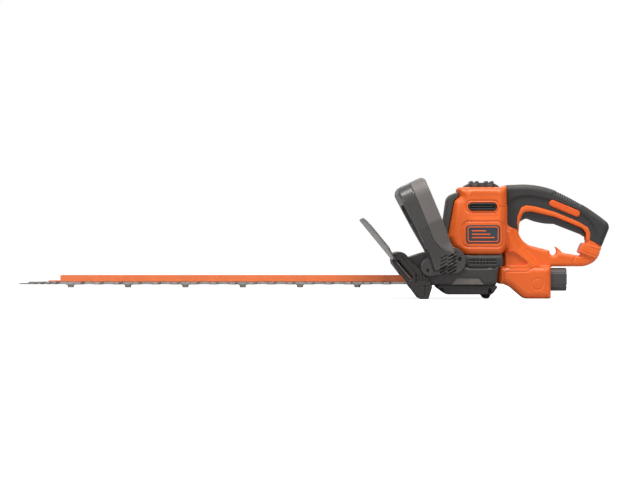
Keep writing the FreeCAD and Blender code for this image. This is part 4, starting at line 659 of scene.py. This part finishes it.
def run_field(block, runs):
    """Distance in the XZ plane to the nearest of some straight runs."""
    x, z = np.meshgrid(block.x, block.z, indexing="ij")
    nearest = np.full(x.shape, 1e9)
    for a, b in runs:
        along = b - a
        share = np.clip(((x - a[0]) * along[0] + (z - a[1]) * along[1]) / max(along @ along, 1e-12), 0, 1)
        nearest = np.minimum(nearest, np.hypot(x - a[0] - share * along[0], z - a[1] - share * along[1]))
    return nearest[:, None, :]


# The middles of the accent's round ends, and their radius, in millimetres.
accent_radius = 4.5
accent_low, accent_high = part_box("grip_accents")
accent_ends = [
    (accent_low.x / MM + accent_radius, accent_high.z / MM - accent_radius),
    (accent_high.x / MM - accent_radius, accent_low.z / MM + accent_radius),
]


def grip_half(name, node, side):
    """One half of the soft grip, the left one with side -1 and the right one with side 1."""
    low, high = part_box(node)
    block = Block(low, high, 0.8)
    outward = np.abs(block.Y)
    half, edge_round, joint_round = 17.0 * MM, 9 * MM, 1.6 * MM
    loops = slice_loops(node, 1, side * (half - 0.3 * MM))
    housing = slice_loops(node.replace("grip", "housing"), 1, side * 13.9 * MM)
    edge = run_field(block, outer_edges(loops, housing, gap=1.5 * MM))
    body = rounded_meet(-edge, outward - half, edge_round)
    body = rounded_meet(body, block.side(loops), joint_round)

    # The finger hollow lies under a raised line, from the front of the handle round to its heel.
    line = [(279, 137), (282, 140.2), (288, 144), (295.3, 146.6), (308.6, 148), (322, 146.4), (338.6, 142.4),
            (360, 134.4), (382, 124.4), (396, 114.8), (404, 104), (408.5, 91), (409, 70)]
    below = np.array(line + [(300, 70), (270, 70), (270, 137)]) * MM
    hollow = relax(block.side([below]), 3)
    body = np.maximum(body, outward - half + ramp(hollow, depth=2.6 * MM, slope=3.0 * MM))

    # Wavy ribs run across the handle above the accent.
    slope, patch_x, patch_z = math.radians(-23.5), 0.364, 0.1385
    along = (block.X - patch_x) * math.cos(slope) + (block.Z - patch_z) * math.sin(slope)
    across = (block.Z - patch_z) * math.cos(slope) - (block.X - patch_x) * math.sin(slope)
    ragged_end = np.abs(along + 2 * MM * np.sin(across / MM * 0.5)) - 22 * MM
    patch = meet(ragged_end, np.abs(across - 6.5 * MM) - 8 * MM)
    rib_pitch, rib_depth = 3.6, 1.7 * MM
    wavy = (along + 0.8 * MM * np.sin(across / MM * 1.1)) / MM
    ribs = rib_depth / 2 * (1 + np.cos(wavy * 2 * math.pi / rib_pitch))
    body = body + ramp(patch, depth=1.0, slope=3 * MM) * ribs

    # The rubber leaves room for the orange band, the accent and, inside, the trigger's slot.
    band_gap, socket_gap, socket_floor, slot_half = 0.2 * MM, 0.4, 13.0 * MM, 10.6 * MM
    body = cut(body, block.side([finger_band]) - band_gap)
    socket = stroke_field(block, accent_ends, accent_radius + socket_gap)
    body = cut(body, socket, socket_floor - outward)
    inside = block.side(slice_loops(node, 1, side * 5 * MM))
    body = cut(body, outward - slot_half, -inside)
    return block.mesh(name, one_side(block, relax(body, 1), side))


rubber = moulded(
    "charcoal_rubber", tone(52, 51, 51), 0.6, pitch=0.6, depth=0.12, wear=0.2, dust=0.22, cloud=25.0
)
for name, node, side in (("left_soft_grip", "left_grip", -1), ("right_soft_grip", "right_grip", 1)):
    dress(grip_half(name, node, side), "frame", rubber, [node])

# ------------------------------------------------------------------ handle accents
# An orange nylon inlay on each side of the rear handle, pill shaped and slanting with it. Each one snaps
# into a socket in the rubber and is nearly flush with it.
accent_face, accent_floor = 16.8 * MM, 13.2 * MM
block = Block(accent_low, (accent_high.x, 0.0, accent_high.z), 0.5)
pill = rounded_meet(stroke_field(block, accent_ends, accent_radius), -accent_face - block.Y, 1.3 * MM)
pill = np.maximum(pill, block.Y + accent_floor)
accent_orange = moulded("accent_orange", tone(236, 96, 32), 0.42, pitch=0.8, depth=0.04)
dressed_pair(block, pill, "accent", accent_orange, "grip_accents")

# ------------------------------------------------------------------ rear collar
# The orange nylon sleeve that clamps the heel of the handle over the end of the lower bar. It slides over
# both halves, with a tongue outlined on each side.


def softened(node, step, passes):
    """A block round a CAD node and the node's field with softened edges."""
    low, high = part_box(node)
    block = Block(low, high, step)
    return block, relax(block.cad(node), passes)


block, sleeve = softened("rear_collar", 0.6, 4)
lip = np.array([(382.4, 81), (380, 71.5), (414, 58), (418, 66)]) * MM
sleeve = scribe(sleeve, np.abs(relax(block.side([lip]), 2)) - 0.5 * MM, 0.7)
dress(block.mesh("heel_sleeve", sleeve), "frame", orange, ["rear_collar"])

# ------------------------------------------------------------------ gear housing
# Two mouldings in black glass-filled nylon: the case round the gears, with a grille on each side, and the
# cover under it that carries the foot. Screws from below hold the cover to the case.
case_black = moulded("case_black", tone(60, 58, 57), 0.42, depth=0.08, dust=0.16, cloud=30.0)
cover_black = moulded("cover_black", tone(46, 44, 43), 0.5, depth=0.08, wear=0.35, dust=0.1, cloud=30.0)
case_low, case_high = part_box("gear_case")
split = case_low.z
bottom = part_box("gear_cover")[0].z
block = Block((case_low.x, case_low.y, bottom), (case_high.x, case_high.y, case_high.z + 0.002), 0.9)
outward = np.abs(block.Y)

# Inner walls, a saddle under the motor and a bridge over the joint close the gaps seen from the side.
wall_outside, wall_inside, wall_inset = 38.4 * MM, 33.5 * MM, 1.5 * MM
wall = block.side(slice_loops("gear_case", 1, case_low.y + 3.2 * MM)) + wall_inset
wall = meet(wall, outward - wall_outside, wall_inside - outward)
saddle = meet(slab_field(block, 0.235, 0.2705, 0.05, 0.0695, radius=0.002), outward - 34 * MM)
bridge = meet(slab_field(block, 0.180, 0.2575, 0.0165, 0.0235), np.abs(outward - 35.6 * MM) - 2.2 * MM)
joined = relax(union(block.cad("gear_case"), block.cad("gear_cover"), wall, saddle, bridge), 3)
case = rounded_meet(joined, split - block.Z, 0.7 * MM)

# A floor behind the grille, a line round it, and a shelf where the lower wall stands further out.
vent_low, vent_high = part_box("case_grilles")
grille_back, grille_floor, case_side = 34.5 * MM, 38.2 * MM, 38 * MM
louvre = pill_field(block, vent_low, vent_high)
case = union(case, meet(louvre - 1.0 * MM, grille_back - outward, outward - grille_floor))
vent = pill_field(block, vent_low, vent_high, grow=3.0 * MM)
case = scribe(case, meet(line_round(vent, 0.0, 0.8), case_side - outward), 1.1)
shelf = np.array([
    (206, 45.0), (214, 43.2), (252, 43.2), (266, 46.5), (285, 43), (285, 16), (150, 16), (150, 36)
]) * MM
shelf_half, shelf_step = 42.0 * MM, 1.6 * MM
stepped = ramp(relax(block.side([shelf]), 2), depth=shelf_step, slope=3 * MM)
case = np.maximum(case, outward - shelf_half + shelf_step - stepped)
dress(block.mesh("gear_housing", case), "frame", case_black, ["gear_case"])
cover = rounded_meet(joined, block.Z - split, 0.7 * MM)
dress(block.mesh("gear_housing_cover", cover), "frame", cover_black, ["gear_cover"])

# ------------------------------------------------------------------ guard bracket
# The black nose in front of the gear case. It takes the foot of the hand guard in a slot and holds the
# bar, with ribs down each side of its neck.
block, bracket = softened("guard_bracket", 0.8, 2)
rib_x, rib_pitch = 146.5, 4.4
ribs = [rib_x + rib_pitch * k for k in range(6)]
grooves = [([(x, 25.5), (x, 35.0)], 0.9, 1.4) for x in ribs] + [
    ([(121.0, 52.5), (138.0, 31.0)], 3.2, 1.8),
    ([(126.0, 60.5), (146.0, 35.5), (146.0, 22.0)], 0.8, 1.0),
    ([(158.5, 18.5), (158.5, 4.0)], 0.7, 1.0),
    ([(152.0, 18.5), (169.5, 18.5)], 0.7, 1.0),
]
for line, radius, depth in grooves:
    bracket = scribe(bracket, stroke_field(block, line, radius), depth)
bracket_black = moulded("bracket_black", tone(50, 48, 47), 0.46, depth=0.08, wear=0.4, dust=0.16, cloud=25.0)
dress(block.mesh("nose_bracket", bracket), "frame", bracket_black, ["guard_bracket"])

# ------------------------------------------------------------------ hand guard
# A bowed sheet of clear smoked polycarbonate with a rolled rim. It stands in front of the front handle and
# is pushed into a slot of the nose bracket.
block, guard = softened("hand_guard", 0.8, 1)
smoked, tree, shader = new_material("smoked_polycarbonate")
grain = use(tree, moulded_grain, pitch=9.0, cloud_size=35.0)
edges = use(tree, edge_wear, amount=0.5)
mottle = grain.outputs["Mottle"]
tint = blended(tree, mottle, tone(128, 124, 121), tone(150, 146, 143))
wire(tree, shader, {
    "Base Color": blended(tree, edges.outputs["Mask"], tint, tone(196, 194, 192)),
    "Roughness": within(tree, mottle, 0.0, 1.0, to_min=0.2, to_max=0.36),
    "Normal": relief(tree, grain.outputs["Height"], 0.04, 0.1),
    "Transmission Weight": 0.45,
    "IOR": 1.5,
})
dress(block.mesh("clear_guard", guard), "frame", smoked, ["hand_guard"])

# ------------------------------------------------------------------ front handle
# A two-handed bail in glossy black nylon, made of a front shell and a paler rear cover that meet on a
# seam, screwed to the gear case through a round flange on each side.
shell_low, shell_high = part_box("front_handle_shell")
lid_low, lid_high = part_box("front_handle_cover")
margin = Vector((0.009, 0.009, 0.009))
low = Vector([min(pair) for pair in zip(shell_low, lid_low)]) - margin
high = Vector([max(pair) for pair in zip(shell_high, lid_high)]) + margin
block = Block(low, high, 1.0)
outward = np.abs(block.Y)
reach, hollow_width = 12.0, 15.0
front, rear = block.cad("front_handle_shell", reach), block.cad("front_handle_cover", reach)
whole = relax(block.filled(np.minimum(front, rear), hollow_width), 4)
seam = (front - rear) / 2
bail = rounded_meet(whole, seam, 0.7 * MM)
lid = rounded_meet(whole, -seam, 0.7 * MM)

# Two columns of slanted slots in the outer face of each flange.
slant, slot_pitch, column_shift, flange_side = math.radians(28), 5.0, 2.8, 38 * MM
for column, (start, end) in enumerate(((180.5, 188.5), (191.5, 202.5))):
    for k in range(6):
        middle_z = 35.5 + slot_pitch * k + column_shift * column
        rise = math.tan(slant) * (end - start) / 2
        slot = stroke_field(block, [(start, middle_z - rise), (end, middle_z + rise)], 1.0)
        bail = scribe(bail, meet(slot, flange_side - outward), 2.4)
handle_gloss = moulded("handle_gloss", tone(70, 68, 67), 0.3, pitch=0.6, wear=0.1, dust=0.08, coat=0.3)
dress(block.mesh("bail_shell", bail), "frame", handle_gloss, ["front_handle_shell"])

handle_satin = moulded("handle_satin", tone(112, 107, 104), 0.5, pitch=0.5, depth=0.1, wear=0.25, dust=0.2)
dress(block.mesh("bail_cover", lid), "frame", handle_satin, ["front_handle_cover"])

# ------------------------------------------------------------------ front trim and top vent
# The black fairing on the motor's front edge, and the cooling cap on its top with two pairs of prongs that
# stop the cord from being laid over it.
trim_black = moulded("trim_black", tone(76, 75, 74), 0.38, pitch=0.8, depth=0.06, wear=0.35, dust=0.15)
block, trim = softened("front_trim", 0.8, 4)
dress(block.mesh("front_fairing", trim), "frame", trim_black, ["front_trim"])

block, cap = softened("vent_cap", 0.5, 2)
outward = np.abs(block.Y)
prong_places, prong_outward, prong_half = (231.2, 252.7), 22.0 * MM, 4.8 * MM
prongs = []
for x in prong_places:
    stem = stroke_field(block, [(x, 159.6), (x, 161.4)], 3.6)
    horns = [stroke_field(block, [(x + 2.8 * k, 161.5), (x + 4.0 * k, 167.6)], 1.8) for k in (-1, 1)]
    prongs.append(rounded_meet(union(stem, *horns), np.abs(outward - prong_outward) - prong_half, 0.8 * MM))
notch = union(*[stroke_field(block, [(x, 167.2), (x, 172.0)], 2.3) for x in prong_places])
cap_half, notch_start = 23.0 * MM, 16.0 * MM
cap = np.maximum(cap, outward - cap_half)
cap = cut(union(cap, *prongs), notch, notch_start - outward)
dress(block.mesh("cooling_cap", cap), "frame", trim_black, ["vent_cap"])

# ------------------------------------------------------------------ badge and small plates
# A dark plate on each side of the motor with an orange frame line and plain bars, without any lettering,
# and the louvres and label fields let into the motor and the gear case.
plate_low, plate_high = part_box("name_plates")
block = Block(plate_low, (plate_high.x, -0.0405, plate_high.z), 0.35)
flat = slab_field(block, plate_low.x, plate_high.x, plate_low.z, plate_high.z, radius=0.0055)
plate_sink, plate_back = 0.0004, 41.0 * MM
plate = rounded_meet(flat, plate_low.y + plate_sink - block.Y, 0.5 * MM)
plate = np.maximum(plate, block.Y + plate_back)
plate_dark = moulded("badge_dark", tone(52, 62, 70), 0.42, pitch=0.5, depth=0.04)
dressed_pair(block, plate, "badge", plate_dark, "name_plates")

marks = [line_round(flat, -3.0, 0.75)]
bar_edge, bar_foot, bar_pitch, bar_shorter = 9.0, 8.6, 4.8, 6.0
for k in range(3):
    z = plate_low.z / MM + bar_foot + bar_pitch * k
    right = plate_high.x / MM - bar_edge - bar_shorter * k
    marks.append(stroke_field(block, [(plate_low.x / MM + bar_edge, z), (right, z)], 0.95))
inlay_half = 0.0006
inlay = meet(union(*marks), np.abs(block.Y - plate_low.y - inlay_half) - inlay_half)
dressed_pair(block, inlay, "badge_inlay", accent_orange, "name_plates")

vent_black = moulded("vent_black", tone(30, 32, 34), 0.38, pitch=0.6, wear=0.25, dust=0.08)
# The near black of the louvres' deep faces is painted shade, standing in for the dark inside the openings.
painted_shade_black = moulded("painted_shade_black", tone(14, 14, 15), 0.7, pitch=0.6, depth=0.03, wear=0.0)
grille_grey = moulded("grille_grey", tone(66, 64, 63), 0.42, pitch=0.6, wear=0.25, dust=0.08)


def paint_in_shade(piece, level):
    """Gives the faces of a louvre that lie deeper than a level a near black material, as painted shade in its
    openings.
    """
    piece.data.materials.append(painted_shade_black)
    for face in piece.data.polygons:
        if abs(face.center.y) < level * MM:
            face.material_index = 1


vent_low, vent_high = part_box("motor_vents")
block = Block(vent_low, (vent_high.x, -0.0385, vent_high.z), 0.4)
louvre = rounded_meet(pill_field(block, vent_low, vent_high), vent_low.y - block.Y, 0.8 * MM)
mouth_floor, bar_face, vent_back = 39.6 * MM, 0.0410, 38.7 * MM
mouth = pill_field(block, vent_low, vent_high, grow=-2.6 * MM)
louvre = cut(louvre, mouth, block.Y + mouth_floor)
bar = stroke_field(block, [(vent_low.x / MM + 5, 132.2), (vent_high.x / MM - 5, 132.2)], 0.75)
louvre = union(louvre, meet(bar, -bar_face - block.Y))
louvre = np.maximum(louvre, block.Y + vent_back)
# The motor louvres' deep faces are painted near black as shade.
for piece in dressed_pair(block, relax(louvre, 1), "louvre", vent_black, "motor_vents"):
    paint_in_shade(piece, 40.2)

grille_low, grille_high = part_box("case_grilles")
block = Block(grille_low, (grille_high.x, -0.038, grille_high.z), 0.4)
grille = rounded_meet(pill_field(block, grille_low, grille_high), grille_low.y - block.Y, 0.8 * MM)
middle_x, middle_z = (grille_low.x + grille_high.x) / 2 / MM, (grille_low.z + grille_high.z) / 2 / MM
bar_pitch, bar_radius = 4.6, 0.7
cross_bar = [(grille_low.x / MM + 3, middle_z), (grille_high.x / MM - 3, middle_z)]
bars = [stroke_field(block, cross_bar, bar_radius)]
for k in range(-2, 3):
    x = middle_x + bar_pitch * k
    bars.append(stroke_field(block, [(x, grille_low.z / MM + 2), (x, grille_high.z / MM - 2)], bar_radius))
mouth_floor, grille_back = 38.9 * MM, 38.4 * MM
mouth = pill_field(block, grille_low, grille_high, grow=-2.2 * MM)
grille = cut(grille, mouth, -union(*bars), block.Y + mouth_floor)
grille = np.maximum(grille, block.Y + grille_back)
# The grilles' deep faces are painted near black as shade.
for piece in dressed_pair(block, relax(grille, 1), "grille", grille_grey, "case_grilles"):
    paint_in_shade(piece, 39.4)
label_grey = moulded("label_grey", tone(104, 98, 94), 0.45, pitch=0.6, dust=0.1)
finish_nodes(label_grey, "label_plates")

# ------------------------------------------------------------------ bar
# A pressed steel channel, powder coated in the tool's orange, that carries both blades. Screws hold its
# rear end to the gear case and the nose bracket.


def metal(name, colour, roughness, pitch=0.4, stretch=(1.0, 1.0, 1.0), wear=0.3, stain=0.4):
    """Bare metal with fine lines left by grinding or drawing, and a cloudy film of handling."""
    made, tree, shader = new_material(name)
    x, y, z = stretch
    lines = use(tree, drawn_lines, pitch=pitch, stretch_x=x, stretch_y=y, stretch_z=z)
    grain = use(tree, moulded_grain, pitch=2.0, cloud_size=22.0)
    edges = use(tree, edge_wear, amount=wear)
    base = blended(tree, lines.outputs["Tone"], shade(colour, 0.86), shade(colour, 1.1))
    film = product(tree, grain.outputs["Mottle"], stain)
    base = blended(tree, film, base, shade(colour, 0.55))
    wire(tree, shader, {
        "Base Color": blended(tree, edges.outputs["Mask"], base, shade(colour, 1.4)),
        "Roughness": within(
            tree, lines.outputs["Tone"], 0.2, 0.8, to_min=roughness - 0.06, to_max=roughness + 0.1
        ),
        "Normal": relief(tree, lines.outputs["Height"], 0.35, 0.04),
        "Metallic": 1.0,
    })
    return made


drawn_lines, given, result = effect(
    "drawn_lines", {"Pitch": 0.5, "Stretch X": 0.04, "Stretch Y": 1.0, "Stretch Z": 1.0}, ["Height", "Tone"]
)
spot = add(drawn_lines, "TexCoord").outputs["Object"]
pulls = add(drawn_lines, "CombineXYZ", {k: given.outputs[f"Stretch {k}"] for k in "XYZ"}).outputs[0]
pulled = add(drawn_lines, "VectorMath", {0: spot, 1: pulls}, operation="MULTIPLY").outputs[0]
scratches = piece_noise(drawn_lines, given.outputs["Pitch"], detail=3.0, place=pulled)
wire(drawn_lines, result, {"Height": scratches, "Tone": scratches})

powder_coat = moulded("powder_coat", tone(252, 124, 66), 0.4, pitch=0.8, depth=0.04, wear=0.12, coat=0.25)
finish_nodes(powder_coat, "blade_bar")

# ------------------------------------------------------------------ blades and their bolts
# Two stamped blades of hardened spring steel, ground along their length. Zinc plated bolts with washers and
# nuts hold them to the bar, and blackened screws hold the tool's other pieces together.
blade_steel = metal(
    "blade_steel", tone(196, 190, 186), 0.3, pitch=0.45, stretch=(0.03, 1.0, 1.0), wear=0.4, stain=0.35
)
finish_nodes(blade_steel, "upper_blade", "lower_blade")
zinc = metal("zinc_plate", tone(168, 164, 158), 0.34, stretch=(1.0, 1.0, 0.3), wear=0.35, stain=0.5)
finish_nodes(zinc, "blade_bolts", "blade_washers", "blade_nuts")
blackened = metal("blackened_screws", tone(46, 44, 43), 0.4, wear=0.4, stain=0.3)
finish_nodes(blackened, "bar_screws", "cover_screws", "housing_screws", "front_handle_screws")

# ------------------------------------------------------------------ plug inlet
# A black nylon plug block with two flat brass prongs inside, for the user's own extension cord. It is
# held between the two halves of the cowl and has fine grooves along its sides.
block, inlet = softened("power_inlet", 0.7, 2)
outward = np.abs(block.Y)
for z in (36.9, 19.0):
    inlet = scribe(inlet, np.maximum(np.abs(block.Z - z * MM) - 0.6 * MM, 0.3 - block.X), 0.9)
inlet_black = moulded("inlet_black", tone(72, 71, 71), 0.42, pitch=0.8, depth=0.06, wear=0.35, dust=0.1)
dress(block.mesh("plug_block", inlet), "frame", inlet_black, ["power_inlet"])
brass = metal("brass", tone(206, 172, 96), 0.28, stretch=(0.05, 1.0, 1.0))
finish_nodes(brass, "inlet_prongs")

# ------------------------------------------------------------------ trigger and switch
# A wide black lever under the rear handle, turning on a steel pin against a coil spring, and the switch
# with its two leads inside the handle.
block, lever = softened("trigger", 0.6, 3)
trigger_black = moulded("trigger_black", tone(60, 60, 62), 0.4, pitch=0.8, depth=0.06, wear=0.4, dust=0.12)
dress(block.mesh("trigger_lever", lever), "switch_lever", trigger_black, ["trigger"])
plain_steel = metal("plain_steel", tone(172, 170, 168), 0.3, stretch=(1.0, 1.0, 0.08))
finish_nodes(plain_steel, "trigger_pin")


def coil(name, middle, low_z, high_z, radius, wire, turns):
    """An upright open coil of round wire with its last half turn at each end laid flat."""
    steps_per_turn, sides = 28, 10
    steps = int(turns * steps_per_turn)
    share = np.linspace(0.0, 1.0, steps + 1)
    angle = share * turns * 2 * math.pi
    lead = np.clip((share * turns - 0.5) / (turns - 1.0), 0.0, 1.0)
    height = low_z + wire + lead * (high_z - low_z - 2 * wire)
    out = np.stack([np.cos(angle), np.sin(angle), np.zeros_like(angle)], axis=1)
    centre = np.array([middle[0], middle[1], 0.0]) + out * radius
    centre[:, 2] = height
    round_wire = np.arange(sides) * 2 * math.pi / sides
    points = centre[:, None] + wire * (
        out[:, None] * np.cos(round_wire)[None, :, None]
        + np.array([0.0, 0.0, 1.0]) * np.sin(round_wire)[None, :, None]
    )
    near = np.arange(steps)[:, None] * sides + np.arange(sides)
    beside = np.arange(steps)[:, None] * sides + (np.arange(sides) + 1) % sides
    faces = np.stack([near, near + sides, beside + sides, beside], axis=2).reshape(-1, 4)
    made = shell(name, points.reshape(-1, 3), faces)
    ends = [range(sides), range((steps + 1) * sides - 1, steps * sides - 1, -1)]
    body = bmesh.new()
    body.from_mesh(made.data)
    body.verts.ensure_lookup_table()
    for end in ends:
        body.faces.new([body.verts[i] for i in end])
    bmesh.ops.recalc_face_normals(body, faces=body.faces)
    body.to_mesh(made.data)
    body.free()
    made.data.shade_smooth()
    return made


# The spring stands between the lever and the handle's wall.
spring_low, spring_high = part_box("trigger_spring")
spring_middle = ((spring_low.x + spring_high.x) / 2, (spring_low.y + spring_high.y) / 2)
return_spring = coil(
    "return_spring", spring_middle, spring_low.z, spring_high.z, radius=3.2 * MM, wire=0.45 * MM, turns=6.0
)
dress(return_spring, "frame", plain_steel, ["trigger_spring"])
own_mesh(return_spring)
switch_black = moulded("switch_black", tone(40, 40, 42), 0.36, depth=0.04, wear=0.2)
finish_nodes(switch_black, "power_switch")
lead_sleeve = moulded("lead_sleeve", tone(46, 46, 50), 0.48, pitch=1.4, depth=0.03, wear=0.1)
finish_nodes(lead_sleeve, "supply_leads")

# ------------------------------------------------------------------ motor and gears
# The works inside the housing: laminated steel cores wound with enamelled copper, a commutator with carbon
# brushes, a fan, and a steel pinion that turns the big gear and its two cams.
laminations = metal(
    "laminations", tone(120, 116, 112), 0.45, pitch=0.5, stretch=(1.0, 1.0, 6.0), wear=0.2, stain=0.5
)
enamelled = metal(
    "enamelled_copper", tone(184, 96, 50), 0.32, pitch=0.6, stretch=(1.0, 1.0, 3.0), wear=0.2, stain=0.3
)
carbon = moulded("carbon", tone(34, 33, 33), 0.55, pitch=0.4, depth=0.1, wear=0.2, dust=0.0)
fan_black = moulded("fan_black", tone(44, 44, 44), 0.42, pitch=0.9, wear=0.2, dust=0.25)
finish_nodes(laminations, "armature_core", "stator_core")
finish_nodes(enamelled, "armature_windings", "field_coils")
finish_nodes(brass, "commutator", "brush_holders", "upper_spindle_bush", "lower_spindle_bush")
finish_nodes(plain_steel, "drive_gear", "gear_spindle", "upper_cam", "lower_cam", "pinion", "armature_shaft")
finish_nodes(plain_steel, "upper_motor_bearing", "lower_motor_bearing", "motor_plate", "brush_springs")
finish_nodes(carbon, "carbon_brushes")
finish_nodes(fan_black, "cooling_fan")
